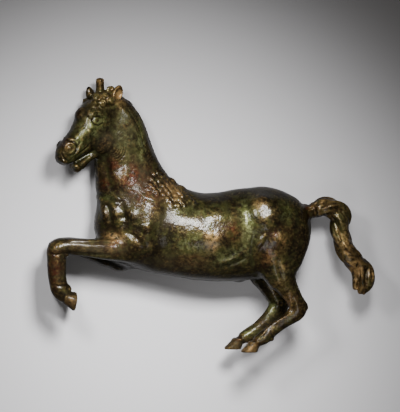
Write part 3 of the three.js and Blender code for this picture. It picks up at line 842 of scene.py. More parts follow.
@dataclass
class Head(Part):
    """Head with its jaw, ears, topknot and curls, turned towards the near side.

    Its sizes are given before the turn, and those of a ring are its radius and half thickness.
    """

    turn_deg: float = 22
    pivot_x: float = -111
    squareness: float = 2.5
    skull: Limb = (
        (-117, 0, 212, 11, 9.5), (-125, 0, 203, 16.5, 12.5), (-131.5, 0, 192, 17.5, 12.5),
        (-139, 0, 185, 14.2, 10.8), (-146, 0, 180, 11.4, 9.4), (-152.5, 0, 175.5, 10, 8.6),
        (-157.5, 0, 170.5, 9, 7.8), (-160.5, 0, 167, 6.5, 6.2),
    )
    jaw: Limb = (
        (-118, 0, 175, 7, 8.5), (-127.5, 0, 172, 4.8, 7), (-135.5, 0, 167.5, 4, 5.8),
        (-142, 0, 162.5, 4.5, 5.6), (-147.5, 0, 159, 4.4, 5),
    )
    # Lower lip and forehead
    middle: tuple[Form, ...] = (
        ((-141, 0, 165.6), (7.5, 3.4, 1.7), -35),
        ((-137.6, 0, 202.4), (9.2, 8.5, 9.2), 0),
    )
    # Cheek, brow, nose and lips of the far side, which the near side mirrors
    muscles: tuple[Form, ...] = (
        ((-122.5, 5, 183.5), (13.5, 7.9, 13.5), 0),
        ((-135.5, 7.6, 204.5), (6, 3.8, 4.4), 40),
        ((-156.5, 4, 176.5), (5.8, 4.9, 5.6), 0),
        ((-160.5, 4.4, 166.2), (3.2, 2.6, 2.6), 20),
        ((-147.5, 3.6, 160.4), (3.6, 2.6, 2.4), 30),
    )
    eye_at: Point = (-132.5, 11, 199.5)
    eye_half: Point = (2.3, 1.7, 1.8)
    lid_rise: float = 0.6
    lid_splay_deg: float = 12
    lid_slant_rad: float = 0.35
    lid_stretch: Pair = (1.4, 0.9)
    lid_ring: Pair = (2.5, 0.8)
    nostril_at: Point = (-157, 7.6, 177)
    nostril_splay_deg: float = 18
    nostril_ring: Pair = (4.1, 1.35)
    nostril_knob: Point = (1.8, 1.9, 1.8)
    ears: tuple[Form, ...] = (
        ((-111.2, -9.2, 221.5), (5.0, 3.6, 7.6), 22),
        ((-127.5, 8.5, 220.5), (3.8, 3.0, 7.0), -12),
    )
    ear_facets: tuple[int, int] = (32, 18)
    ear_rim: float = 0.66
    ear_scoop: float = 2.9
    ear_point: float = 0.16
    topknot: Limb = (
        (-122.5, 0, 212, 5, 5), (-123, 0, 221, 3.8, 3.8), (-123, 0, 228.5, 3.7, 3.7),
        (-123, 0, 232.6, 3.8, 3.8),
    )
    topknot_strands: int = 5
    strand_depth: float = 0.05
    bound_to: float = 0.3
    binding_at: Point = (-123, 0, 221.5)
    binding_ring: Pair = (3.7, 0.8)
    side_curls: tuple[Point, ...] = (
        (-131.5, -6.5, 213.5), (-125.5, -9, 214), (-119, -9.8, 215.5), (-129, -5, 219),
        (-122.5, -7.6, 219.8), (-131.5, 6.5, 213.5), (-124, 9, 214),
    )
    crown_at: Point = (-121, 0, 217)
    crown_radius: float = 7
    crown_rise: float = 3
    crown_curls: int = 8
    curl_half: float = 4.0
    curl_ring: Pair = (2.4, 0.85)
    curl_out: float = 2.9
    knob_half: float = 1.1
    knob_out: float = 3.4
    ear_curl_at: Point = (-115.4, -4.9, 223.6)
    ear_curl_ring: Pair = (3.2, 1.35)
    ear_curl_core: Form = ((-115.4, -3.4, 223.4), (3.4, 2.6, 3.4), 0)
    round_nostril: tuple[Arc, ...] = (
        ((6.4, 6.4), (-100, 120), 0.8, -0.6),
        ((8.0, 8.0), (-60, 110), 0.9, 0.45),
    )
    round_eye: tuple[Arc, ...] = (((5.0, 3.7), (0, 360), 0.8, -0.7),)
    # Bridge of the nose, face bones, edge of the cheek, corner of the mouth, folds and brow
    carving: tuple[Stroke, ...] = (
        Stroke(((-150, 209.5), (-153.4, 204), (-157, 197.5), (-161.5, 190), (-165, 184)), 1.2, 1.1),
        Stroke(((-147.5, 205), (-152, 198), (-156.5, 191)), 4.2, 1.1),
        Stroke(((-136.5, 196.5), (-140.5, 190.5), (-145, 185)), 4.2, 1.3),
        Stroke(arc((-123.2, 183.8), (14.4, 14.4), (118, 291), 12), 2.0, -0.5),
        Stroke(((-149.5, 171), (-145.5, 173.6), (-141.5, 176.8), (-139.6, 180)), 0.9, -1.0),
        Stroke(((-148.5, 186), (-149, 180.5), (-152, 175.5), (-157, 171.2)), 0.8, -0.6),
        Stroke(((-145.8, 187), (-146.3, 180.5), (-149.2, 174.6), (-155, 169.6)), 0.9, 0.5),
        Stroke(((-144.5, 165.8), (-138.4, 170.6), (-131.4, 175.6)), 1.1, -0.5),
        Stroke(((-138.2, 203.2), (-135.5, 206.8), (-130.5, 207), (-127, 203.8)), 0.8, 0.6),
        Stroke(((-139.4, 205.2), (-136.5, 209.6), (-130, 209.8), (-125.6, 206)), 0.7, -0.5),
        Stroke(((-163.6, 172.6), (-161.4, 168.4), (-158.2, 166)), 0.8, -0.6),
    )
    worn: tuple[Spot, ...] = (
        ((-111, -10, 222), (7, 7, 9), 1.0), ((-123, 0, 232), (6, 6, 5), 0.75),
        ((-123, -7, 217), (11, 8, 7), 0.5), ((-158, -9, 178), (4, 5, 4), 0.25),
    )
    green: tuple[Spot, ...] = (
        ((-123, -7, 216), (11, 8, 7), 0.8), ((-133, -12, 199), (10, 9, 8), 1.0),
        ((-141, -11, 193), (11, 9, 9), 0.75), ((-149, -10, 181), (7, 9, 8), 0.8),
        ((-152, -9, 169), (8, 9, 7), 0.6), ((-115, -6, 223), (5, 5, 5), 0.9),
        ((-136, 10, 192), (22, 8, 20), 0.6),
    )
    red: tuple[Spot, ...] = (
        ((-145, -6, 206), (7, 8, 9), 0.25), ((-160, -6, 184), (6, 8, 7), 0.5),
    )
    matt: tuple[Spot, ...] = (
        ((-139, -9, 206), (7, 8, 5), 0.7), ((-122, -13, 183), (12, 9, 12), 1.0),
        ((-122, 13, 183), (12, 9, 12), 0.8),
    )
    # Painted shade inside the mouth
    dark: tuple[Spot, ...] = (((-147, 0, 166), (9, 5, 3.5), 1.0),)
    # Painted shade on each eye and in each nostril, placed from its centre, outwards
    painted_shade_eye: Spot = ((-0.4, 1.5, 0), (1.5, 2.4, 1.2), 1.3)
    painted_shade_nostril: Spot = ((0, 0, 0), (2.6, 2.5, 2.6), 0.6)

    def move(self) -> Matrix:
        """Returns the turn of the head about the upright line through the poll."""
        there = Matrix.Translation((self.pivot_x, 0, 0))
        return there @ turn_about("Z", self.turn_deg) @ there.inverted()

    def build(self, clay: Clay) -> None:
        """Adds all forms of the head.

        Args:
            clay: What they are added to.
        """
        move = self.move()
        clay.loft(Course(self.skull), steps=40, sides=32, move=move, swell=self.squarish)
        clay.loft(Course(self.jaw), steps=24, move=move)
        clay.balls(self.middle, move)
        for side in Side:
            clay.balls([((x, side * y, z), half, lean) for (x, y, z), half, lean in self.muscles], move)
            self.build_eye(clay, side)
            self.build_nostril(clay, side)
        for at, half, lean_deg in self.ears:
            self.build_ear(clay, at, half, lean_deg)
        self.build_hair(clay)

    def squarish(self, angle: float, t: float) -> float:
        """Returns the swell that gives the skull flat cheeks and a flat brow."""
        power = self.squareness
        return (abs(math.cos(angle)) ** power + abs(math.sin(angle)) ** power) ** (-1 / power)

    def bound(self, angle: float, t: float) -> float:
        """Returns the swell of the topknot: plain at its foot, in strands of hair above."""
        return 1 + self.strand_depth * math.cos(self.topknot_strands * angle) * (t > self.bound_to)

    def facing(self, at: Point, side: Side, splay_deg: float) -> Matrix:
        """Places a flat form on the side of the head.

        Args:
            at: Its centre on the far side.
            side: The side that it goes to.
            splay_deg: How far it faces forwards.

        Returns:
            A matrix whose Z points out of the turned head.
        """
        x, y, z = at
        place = Matrix.Translation((x, y * side, z)) @ turn_about("Z", splay_deg * side)
        return self.move() @ (place @ turn_about("X", -90 * side))

    def build_eye(self, clay: Clay, side: Side) -> None:
        """Adds an eyeball and its lids.

        Args:
            clay: What they are added to.
            side: Side of the head.
        """
        x, y, z = self.eye_at
        clay.ball((x, side * y, z), self.eye_half, 0, self.move())
        slant = Matrix.Rotation(-self.lid_slant_rad * side, 4, "Z")
        place = self.facing((x, y + self.lid_rise, z), side, self.lid_splay_deg)
        clay.ring(place @ slant @ Matrix.Diagonal((*self.lid_stretch, 1, 1)), *self.lid_ring)

    def build_nostril(self, clay: Clay, side: Side) -> None:
        """Adds the raised ring of a nostril, with the knob in it.

        Args:
            clay: What they are added to.
            side: Side of the head.
        """
        clay.ring(self.facing(self.nostril_at, side, self.nostril_splay_deg), *self.nostril_ring)
        x, y, z = self.nostril_at
        clay.ball((x, side * y, z), self.nostril_knob, 0, self.move())

    def build_ear(self, clay: Clay, at: Point, half: Point, lean_deg: float) -> None:
        """Adds an ear, pointed at its top, whose outer face is hollowed to a thin rim.

        Args:
            clay: What it is added to.
            at: Its centre.
            half: Half sizes along X, Y and Z.
            lean_deg: Turn in the profile plane.
        """
        out = math.copysign(1, at[1])
        shape = bmesh.new()
        round_it, up_it = self.ear_facets
        bmesh.ops.create_uvsphere(shape, u_segments=round_it, v_segments=up_it, radius=1.0)
        for vert in shape.verts:
            depth = vert.co.y * out - self.ear_rim
            if depth > 0:
                vert.co.y = out * (self.ear_rim - self.ear_scoop * depth)
            vert.co.x *= 1 - self.ear_point * max(vert.co.z, 0) ** 2
        place = self.move() @ Matrix.Translation(at) @ turn_about("Y", lean_deg)
        clay.keep(shape, place @ Matrix.Diagonal((*half, 1.0)))

    def build_hair(self, clay: Clay) -> None:
        """Adds the topknot, its binding, the curls round its foot and the one at the near ear.

        Args:
            clay: What they are added to.
        """
        move = self.move()
        clay.loft(Course(self.topknot), steps=24, move=move, swell=self.bound)
        clay.ring(move @ Matrix.Translation(self.binding_at), *self.binding_ring)
        x, y, z = self.crown_at
        crown = []
        for i in range(self.crown_curls):
            angle = 2 * math.pi * i / self.crown_curls
            rim = (x + self.crown_radius * math.cos(angle), y + self.crown_radius * math.sin(angle))
            crown.append((*rim, z + self.crown_rise * math.cos(angle)))
        for at in (*crown, *self.side_curls):
            self.build_curl(clay, Vector(at), Vector((x, 0, z - self.curl_half)))
        beside = Matrix.Translation(self.ear_curl_at) @ turn_about("X", 90)
        clay.ring(move @ beside, *self.ear_curl_ring)
        clay.ball(*self.ear_curl_core, move)

    def build_curl(self, clay: Clay, at: Vector, middle: Vector) -> None:
        """Adds a curl: a ball with a raised ring and a knob on the side that faces out.

        Args:
            clay: What it is added to.
            at: Its centre.
            middle: The point that it faces away from.
        """
        move = self.move()
        out = (at - middle).normalized()
        clay.ball(tuple(at), (self.curl_half,) * 3, 0, move)
        clay.ring(move @ Matrix.Translation(at + out * self.curl_out) @ pointed(out), *self.curl_ring)
        clay.ball(tuple(at + out * self.knob_out), (self.knob_half,) * 3, 0, move)

    def strokes(self) -> list[Stroke]:
        """Adds the grooves round nostrils and eyes to the carving of the face.

        Returns:
            The cuts and swells.
        """
        grooves = [
            Stroke(arc(at[::2], half, span_deg), width, height)
            for at, rows in ((self.nostril_at, self.round_nostril), (self.eye_at, self.round_eye))
            for half, span_deg, width, height in rows
        ]
        return [*grooves, *self.carving]

    def spots(self) -> list[tuple[Tint, Spot]]:
        """Adds the painted shade of the eyes and nostrils to the places of the patina.

        Returns:
            The places, each with its kind.
        """
        found = super().spots()
        for centre, spot in ((self.eye_at, self.painted_shade_eye), (self.nostril_at, self.painted_shade_nostril)):
            x, y, z = (a + b for a, b in zip(centre, spot[0]))
            found += [(Tint.PAINTED_SHADE, ((x, side * y, z), *spot[1:])) for side in Side]
        return found


@dataclass
class Legs(Part):
    """The four legs from the fleshy forearm or thigh to the pastern, and the hooves."""

    near_forearm: Limb = (
        (-101, -14, 90, 11, 9.4), (-114, -14, 90, 9.8, 9), (-127, -14, 90.8, 8.3, 7.6),
        (-141, -14, 92.3, 7.3, 6.8), (-152, -14, 93, 7.2, 6.8),
    )
    far_forearm: Limb = (
        (-97, 13, 81.5, 11.5, 9.4), (-110, 14, 82.3, 11, 9), (-122.5, 14, 85.5, 9.2, 7.8),
        (-136, 14, 89.5, 7.6, 6.8), (-147.5, 14, 91, 7.2, 6.8),
    )
    # Near foreleg from the knee down; the far one is the same, moved
    near_shin: Limb = (
        (-160, -14, 90.5, 8.4, 7), (-160.8, -14, 82.5, 8.2, 6.6), (-160.8, -14, 73, 7.9, 6),
        (-160, -14, 64, 7.6, 5.8), (-158, -14, 56.5, 7.6, 6), (-153.5, -14, 50.5, 6.2, 5.6),
    )
    far_shift: Point = (4.2, 28, -2)
    near_hind: Limb = (
        (29.5, -17, 73, 16.5, 10.6), (31.5, -17, 64.5, 13.8, 10), (35.5, -16.5, 57.8, 10.2, 8.5),
        (39.6, -16, 51, 8.2, 7), (43.6, -16, 44.2, 7.2, 6), (46.6, -15.5, 38.5, 7.6, 5.8),
        (45, -15, 33.5, 7.4, 5.6), (38.7, -15, 28.4, 5.9, 5), (31, -14.5, 22.9, 5.3, 4.8),
        (23.2, -14, 17, 5.5, 5), (17.6, -13.5, 12.4, 6, 5.5), (12, -13, 9.2, 5, 5.2),
    )
    far_hind: Limb = (
        (21, 17, 73, 15.5, 10.6), (23.5, 17, 63, 13, 10), (27, 16.5, 55.2, 10.2, 8.5),
        (31.2, 16, 47.6, 8.4, 7), (34.6, 16, 40.8, 8, 6.2), (35.4, 15.5, 35.2, 8.6, 5.8),
        (32, 15, 29.4, 8.2, 5.6), (26, 14.6, 23, 7.4, 5.4), (18, 14, 16.6, 6.9, 5.2),
        (10.4, 13.5, 12.4, 6.4, 5.3), (4, 13, 9.4, 5, 5.2),
    )
    # Centre of each hoof's top, centre of its sole, and the way the sole faces
    hooves: tuple[tuple[Point, Point, Point], ...] = (
        ((-155, -14, 50), (-144.5, -14, 45.5), (1, 0, -0.15)),
        ((-150.8, 14, 48), (-140.3, 14, 43.5), (1, 0, -0.15)),
        ((10, -13, 9.5), (5, -13, 0), (0, 0, -1)),
        ((1, 13, 9.5), (-4.7, 13, 0), (0, 0, -1)),
    )
    hoof_top: Pair = (5.2, 5.5)
    hoof_sole: Pair = (7.4, 6.4)
    # Share of the way down, and how much it stands out beyond the top
    coronet_band: tuple[tuple[float, Pair], ...] = ((0.12, (0.9, 0.7)), (0.22, (0.5, 0.3)))
    sole_rim: float = 1.4
    sole_inset: float = 0.97
    bones: tuple[Form, ...] = (
        # Knees: cap, and the bone behind the joint
        ((-163.4, -14, 93), (4.4, 5.2, 4.2), 0), ((-154, -14, 86.5), (3.6, 5.6, 3), 0),
        ((-159.4, 14, 91), (4.4, 5.2, 4.2), 0), ((-150, 14, 84.5), (3.6, 5.6, 3), 0),
        # Fetlocks with their ergots
        ((-151.6, -14, 56.6), (3.6, 4.2, 3.4), 40), ((-147.6, 14, 54.6), (3.6, 4.2, 3.4), 40),
        ((23.4, -14, 11.6), (3.2, 4.2, 2.8), 35), ((15, 13.6, 10.4), (3, 4, 2.8), 35),
        # Points of the hocks
        ((51, -15.6, 39.2), (4.0, 3.4, 5.4), -30), ((41, 15.6, 38.2), (3.6, 3.4, 5), -30),
    )
    chestnut_at: Point = (36.0, 10.2, 39.2)
    chestnut_ring: Pair = (2.1, 0.8)
    carving: tuple[Stroke, ...] = (
        Stroke(((-156, 99), (-145.8, 98.3), (-133.7, 97.8), (-121.6, 98), (-113.8, 97.2)), 1.6, 0.9),
        Stroke(((-150, 88), (-138, 87), (-126, 86), (-114, 86)), 2.2, -0.8),
        Stroke(((-157.4, 86), (-157.6, 76.7), (-156.6, 64)), 1.6, -0.5),
        Stroke(((-168, 88.5), (-162, 87), (-156, 88.5)), 1.0, -0.6),
        Stroke(((-164, 61.5), (-158.5, 60), (-152.5, 61)), 1.0, -0.6),
        Stroke(((36.9, 47.6), (40, 40), (38.2, 33.6), (31.9, 28.5), (21.6, 21.9), (14.7, 15.1)),
               1.6, 1.1, Relief.NEAR_ONLY),
        Stroke(((40.5, 46), (42, 41), (39.5, 35), (33, 29.4)), 1.2, -0.8, Relief.NEAR_ONLY),
        Stroke(((28, 44), (29.5, 37), (25, 29), (15, 21), (8, 15)), 1.1, 0.8, Relief.FAR_ONLY),
        Stroke(((48, 45), (45.5, 52), (42, 58.5)), 1.3, -0.7, Relief.NEAR_ONLY),
        Stroke(((20.5, 20), (17.5, 15.5), (14, 12.5)), 0.9, -0.6, Relief.NEAR_ONLY),
    )
    worn: tuple[Spot, ...] = (
        ((5, -14, 4), (9, 9, 5), 0.4), ((-3, 13, 4), (9, 9, 4), 0.1), ((-149, -14, 46), (6, 9, 5), 0.3),
        ((30, -18, 60), (6, 8, 8), 0.35), ((37, -18, 44), (6, 9, 8), 0.4),
    )
    green: tuple[Spot, ...] = (
        ((10, 12, 14), (6, 8, 5), 0.9), ((27, 12, 36), (5, 8, 8), 0.8),
        ((-126, -10, 82), (18, 12, 5), 0.8), ((-150, 14, 88), (12, 10, 12), 0.5),
    )
    red: tuple[Spot, ...] = (
        ((3, 0, 9), (10, 30, 4), 0.5), ((-163, -16, 76), (5, 10, 14), 0.9),
        ((-112, -20, 92), (7, 9, 8), 0.6), ((36, -18, 40), (9, 10, 12), 0.3),
    )
    matt: tuple[Spot, ...] = (
        ((2, 0, 3), (14, 30, 8), 1.0), ((-148, 0, 47), (10, 30, 8), 0.85),
        ((-128, -20, 89.5), (28, 10, 7.5), 1.0), ((-160, -16, 75), (8, 12, 14), 0.7),
        ((20, 14, 22), (16, 9, 12), 0.7),
    )

    def build(self, clay: Clay) -> None:
        """Adds limbs, hooves, joints and the chestnut.

        Args:
            clay: What they are added to.
        """
        dx, dy, dz = self.far_shift
        far_shin = [(x + dx, y + dy, z + dz, *half) for x, y, z, *half in self.near_shin]
        near_fore, far_fore = (*self.near_forearm, *self.near_shin), (*self.far_forearm, *far_shin)
        for stations in (near_fore, far_fore, self.near_hind, self.far_hind):
            clay.loft(Course(stations), steps=60, sides=28)
        for coronet, sole, facing in self.hooves:
            self.build_hoof(clay, Vector(coronet), Vector(sole), Vector(facing).normalized())
        clay.balls(self.bones)
        clay.ring(Matrix.Translation(self.chestnut_at) @ turn_about("X", 90), *self.chestnut_ring)

    def build_hoof(self, clay: Clay, coronet: Vector, sole: Vector, down: Vector) -> None:
        """Adds a hoof: its wall widens from the coronet band to a flat sole.

        Args:
            clay: What it is added to.
            coronet: Centre of its top, inside the pastern's end.
            sole: Centre of its underside.
            down: The way the sole faces.
        """
        front = down.cross(ACROSS)
        top, foot = Vector(self.hoof_top), Vector(self.hoof_sole)
        band = [(coronet.lerp(sole, share), top + Vector(more)) for share, more in self.coronet_band]
        wall = [(coronet, top), *band, (sole - down * self.sole_rim, foot), (sole, foot * self.sole_inset)]
        clay.sweep([
            Matrix.Translation(at) @ Matrix((front * depth, ACROSS * width, down)).transposed().to_4x4()
            for at, (depth, width) in wall
        ], sides=28)


@dataclass
class Tail(Part):
    """Tail, a rope of three twisted locks of hair with a ragged tip."""

    line: Limb = (
        (48, 0, 118, 6, 6), (61, 0, 119, 6, 6), (70.5, 0, 121.3, 8, 7.4), (80, 0, 120.5, 8.8, 7.8),
        (86.5, 0, 113.5, 8.8, 7.8), (86, 0, 103, 7.8, 7.4), (87.3, 0, 93.5, 7.8, 7.4),
        (92, 0, 84, 8, 7.6), (98, 0, 75.5, 8, 7.4), (103, 0, 69, 6, 6),
    )
    strands: tuple[Limb, ...] = (
        (
            (95, 0, 80, 3, 3), (103.5, -0.5, 75.5, 3.6, 3.6), (110.5, -1, 69, 3.4, 4),
            (113.2, -1, 61, 3, 4), (111.2, -0.6, 53.5, 3, 3.6), (105.8, 0, 48, 2.4, 2.6),
        ),
        (
            (94, -3, 76, 3, 3), (101.5, -4, 68, 2.7, 3), (104.4, -5, 60.5, 2.5, 3),
            (104.8, -4.6, 54, 2.3, 2.6), (102.8, -3, 48.4, 2.2, 2.2),
        ),
        (
            (93, 3, 75, 3, 3), (100.6, 4, 68.4, 3, 3.2), (105.4, 4.4, 61.4, 2.8, 3),
            (107.4, 4, 54, 2.6, 2.6), (104.4, 3, 48.8, 2, 2.2),
        ),
        (
            (92, 0, 74, 3, 4), (97, 0.4, 68.6, 3.2, 4.4), (99.6, 0.6, 62, 2.8, 4),
            (99.4, 0.4, 56.4, 2.6, 3.4), (99.6, 0, 51.4, 2.2, 2.6),
        ),
    )
    locks: int = 3
    turns: float = 1.5
    core: float = 0.62
    lock_offset: float = 0.56
    lock_size: float = 0.54
    hairs: int = 5
    hair_depth: float = 0.12
    hair_twist: float = 4
    lock_steps: int = 48
    collar_at: float = 0.13
    collar_height: float = 6
    collar_ring: Pair = (0.96, 0.2)
    # Long hairs, then the hollow in the tip and the finer hairs beside it
    carving: tuple[Stroke, ...] = (
        Stroke(((78, 120.5), (82.5, 115.5), (86.5, 107), (89.5, 100), (92, 91), (95.5, 84)), 1.5, 0.9),
        Stroke(((75, 117), (79, 112.5), (82.5, 105), (85, 97), (88, 89), (92.5, 80.5)), 1.0, -0.8),
        Stroke(((83, 122), (88, 115), (91.5, 106)), 1.0, -0.7),
        Stroke(((109.6, 70), (107.8, 64), (107, 56)), 1.7, -2.4),
        Stroke(((101, 73), (102, 63), (101, 52)), 0.8, -0.8),
        Stroke(((104, 72), (105, 66), (104.6, 57)), 1.0, 0.6),
        Stroke(((112, 69), (113, 61), (110.5, 53)), 0.8, -0.6),
    )
    worn: tuple[Spot, ...] = (
        ((78, 0, 123), (13, 9, 8), 0.6), ((89, -6, 92), (8, 9, 16), 0.6),
        ((99, -4, 68), (6, 9, 12), 0.8), ((103, 0, 51), (8, 9, 7), 0.85),
        ((112.5, -4, 64), (3, 9, 8), 0.7),
    )
    green: tuple[Spot, ...] = (
        ((86, -6, 108), (6, 8, 16), 0.7), ((112, -4, 56), (4, 9, 9), 0.6),
    )
    red: tuple[Spot, ...] = (
        ((56, 0, 119), (7, 9, 8), 1.0),
    )
    # Painted shade in the hollow of the tip
    dark: tuple[Spot, ...] = (((107.6, -6, 62.5), (2.0, 6, 7), 1.3),)

    def build(self, clay: Clay) -> None:
        """Adds the core, the locks that wind round it, the collar at the root and the tip.

        Args:
            clay: What they are added to.
        """
        rope = Course(self.line)
        inner = [(x, y, z, self.core * depth, self.core * width) for x, y, z, depth, width in self.line]
        clay.loft(Course(inner), steps=80)
        for k in range(self.locks):
            clay.loft(self.wound(rope, k / self.locks), steps=150, sides=40, swell=self.hairy)
        collar = rope.ring(self.collar_at) @ Matrix.Diagonal((1, 1, self.collar_height, 1))
        clay.ring(collar, *self.collar_ring)
        for strand in self.strands:
            clay.loft(Course(strand), steps=40, sides=32, swell=self.hairy)

    def wound(self, rope: Course, start: float) -> Course:
        """Works out how a lock winds along the tail.

        Args:
            rope: The line of the tail.
            start: Where round the root the lock starts, as a share of a turn.

        Returns:
            The course of the lock.
        """
        stations = []
        for i in range(self.lock_steps + 1):
            t = i / self.lock_steps
            angle = 2 * math.pi * (self.turns * t + start)
            rim = Vector((math.cos(angle), math.sin(angle), 0))
            at = rope.ring(t) @ rim.lerp(Vector(), 1 - self.lock_offset)
            size = self.lock_size * math.sqrt(math.prod(rope.at(t)[3:]))
            stations.append((at.x, at.y, at.z, size, size))
        return Course(stations)

    def hairy(self, angle: float, t: float) -> float:
        """Returns the swell of a lock whose hairs run slightly askew along it."""
        return 1 + self.hair_depth * math.cos(self.hairs * (angle + self.hair_twist * t))


def linear(hex_colour: str) -> tuple[float, float, float, float]:
    """Returns an sRGB hex colour in linear light, with alpha 1."""
    levels = [int(hex_colour[i:i + 2], 16) / 255 for i in (1, 3, 5)]
    return (*(c / 12.92 if c <= 0.04045 else ((c + 0.055) / 1.055) ** 2.4 for c in levels), 1.0)


def add_node(
    tree: bpy.types.NodeTree,
    kind: str,
    links: dict | None = None,
    **settings: object,
) -> bpy.types.Node:
    """Adds a node with its settings and links.

    Args:
        tree: The material's node tree.
        kind: Blender's name of the node type.
        links: Output socket for each input, by the input's name or number.
        settings: Options of the node, or values of inputs by name, with _ for a space.

    Returns:
        The new node.
    """
    made = tree.nodes.new(kind)
    for key, value in settings.items():
        if hasattr(made, key):
            setattr(made, key, value)
        elif key.startswith("input_"):
            made.inputs[int(key[6:])].default_value = value
        else:
            made.inputs[key.replace("_", " ")].default_value = value
    for socket, source in (links or {}).items():
        tree.links.new(source, made.inputs[socket])
    return made


def per_mm(size: float) -> float:
    """Returns the texture scale, in metres of object space, for a pattern of this size in mm."""
    return 1 / (size * MM)


@dataclass(frozen=True)
class Noise:
    """A cloudy pattern: the size of its blots in mm, its detail and roughness, and its place."""

    size: float
    detail: float
    rough: float
    shift: float


@dataclass(frozen=True)
class Layer:
    """A colour laid over those before it.

    It shows where the pattern rises from low to high, and only as far as where allows.
    """

    colour: str
    pattern: str
    low: float
    high: float
    most: float
    where: str = ""


@dataclass(frozen=True)
class LacqueredBronze:
    """Lost-wax bronze under old dark lacquer, rubbed and stained.

    The lacquer gives sharp white lights over a dark brown ground. Green corrosion sits in the
    hollows, red-brown stains lie in patches, and the metal shows tan where it is rubbed. Shade
    is painted near-black into the cuts and creases, the mouth, the nostrils and the eyes.
    """

    ground: str = "#120F0A"
    edge: str = "#2E2419"
    # Bright and dull skin: share of bare metal's shine, and strength of the lacquer's
    metallic: Pair = (0.64, 0.35)
    coat: Pair = (0.22, 0.02)
    dull_from: float = 0.8
    coat_roughness: float = 0.15
    under_lacquer: float = 0.1
    roughness: Pair = (0.3, 0.5)
    cloudy: Pair = (0.3, 0.7)
    matt_roughness: float = 0.18
    # Strength, and height in mm
    file_marks: Pair = (0.35, 0.6)
    cast_grain: Pair = (0.5, 0.3)
    # Channels of the stored attributes; the small hollows carry the painted shade
    attributes: tuple[tuple[str, tuple[str, ...]], ...] = (
        ("patina", ("worn", "green", "red", "matt")),
        ("relief", ("hollow", "dip", "edge")),
    )
    noises: tuple[tuple[str, Noise], ...] = (
        ("broad", Noise(16, 5, 0.6, 0)),
        ("mottle", Noise(7, 5, 0.6, 0.31)),
        ("speck", Noise(2.2, 3, 0.6, 0.77)),
        ("fleck", Noise(3.7, 4, 0.7, 1.93)),
        ("tooling", Noise(2.6, 2, 0.6, 2.7)),
        ("grain", Noise(1.1, 2, 0.6, 3.3)),
    )
    layers: tuple[Layer, ...] = (
        # Brown lacquer over the near-black ground, with olive clouds
        Layer("#1B150B", "broad", 0.38, 0.62, 1.0),
        Layer("#282813", "mottle", 0.47, 0.66, 0.8),
        # Green corrosion: deep moss, then pale verdigris blots on it
        Layer("#3A3F1D", "mottle", 0.34, 0.60, 1.0, "green"),
        Layer("#7A7F53", "fleck", 0.47, 0.64, 0.6, "green"),
        # Red-brown stains and the faint gold of thin lacquer
        Layer("#3C170B", "fleck", 0.38, 0.60, 0.9, "red"),
        Layer("#4A4524", "speck", 0.54, 0.68, 0.6, "broad"),
        # Pale green settled in wide hollows, dust on dull places, and painted shade: near-black in the
        # cuts, creases and the spots of painted shade
        Layer("#646A40", "mottle", 0.30, 0.60, 0.5, "dip"),
        Layer("#2A241D", "mottle", 0.25, 0.60, 0.65, "matt"),
        Layer("#120C07", "hollow", 0.15, 0.75, 0.85),
        # Bare metal on sharp edges and where hands have rubbed it, brown inside the folds
        Layer("#8C7046", "speck", 0.42, 0.64, 0.35, "edge"),
        Layer("#98784C", "fleck", 0.38, 0.62, 0.95, "worn"),
        Layer("#3A1E0C", "hollow", 0.40, 1.00, 0.7, "worn"),
    )

    def signals(self, tree: bpy.types.NodeTree) -> dict[str, bpy.types.NodeSocket]:
        """Adds the patterns and the attributes that say where things are.

        Args:
            tree: The material's node tree.

        Returns:
            The output socket of each, by name.
        """
        place = add_node(tree, "ShaderNodeTexCoord").outputs["Object"]
        found = {}
        for name, noisy in self.noises:
            shifted = add_node(
                tree, "ShaderNodeVectorMath", {0: place}, operation="ADD",
                input_1=(noisy.shift, 0.7 * noisy.shift, -noisy.shift),
            )
            found[name] = add_node(
                tree, "ShaderNodeTexNoise", {"Vector": shifted.outputs[0]},
                Scale=per_mm(noisy.size), Detail=noisy.detail, Roughness=noisy.rough,
            ).outputs[0]
        for attribute, names in self.attributes:
            stored = add_node(tree, "ShaderNodeAttribute", attribute_name=attribute)
            split = add_node(tree, "ShaderNodeSeparateColor", {0: stored.outputs["Color"]})
            found.update(zip(names, (*split.outputs, stored.outputs["Alpha"])))
        return found

    def coloured(
        self, tree: bpy.types.NodeTree, found: dict[str, bpy.types.NodeSocket]
    ) -> bpy.types.NodeSocket:
        """Adds the layers of colour.

        Args:
            tree: The material's node tree.
            found: Patterns and attributes by name.

        Returns:
            The finished colour.
        """
        colour = None
        for layer in self.layers:
            share = add_node(
                tree, "ShaderNodeMapRange", {"Value": found[layer.pattern]}, clamp=True,
                From_Min=layer.low, From_Max=layer.high, To_Min=0.0, To_Max=layer.most,
            )
            if layer.where:
                share = add_node(
                    tree, "ShaderNodeMath", {0: share.outputs[0], 1: found[layer.where]},
                    operation="MULTIPLY",
                )
            laid = add_node(
                tree, "ShaderNodeMix", {0: share.outputs[0]}, data_type="RGBA",
                input_6=linear(self.ground), input_7=linear(layer.colour),
            )
            if colour:
                tree.links.new(colour, laid.inputs[6])
            colour = laid.outputs[2]
        return colour

    def material(self) -> bpy.types.Material:
        """Makes the finish.

        Returns:
            The material, with object coordinates as its base.
        """
        made = bpy.data.materials.new("lacquered_bronze")
        made.use_nodes = True
        tree = made.node_tree
        tree.nodes.clear()
        found = self.signals(tree)
        colour = self.coloured(tree, found)
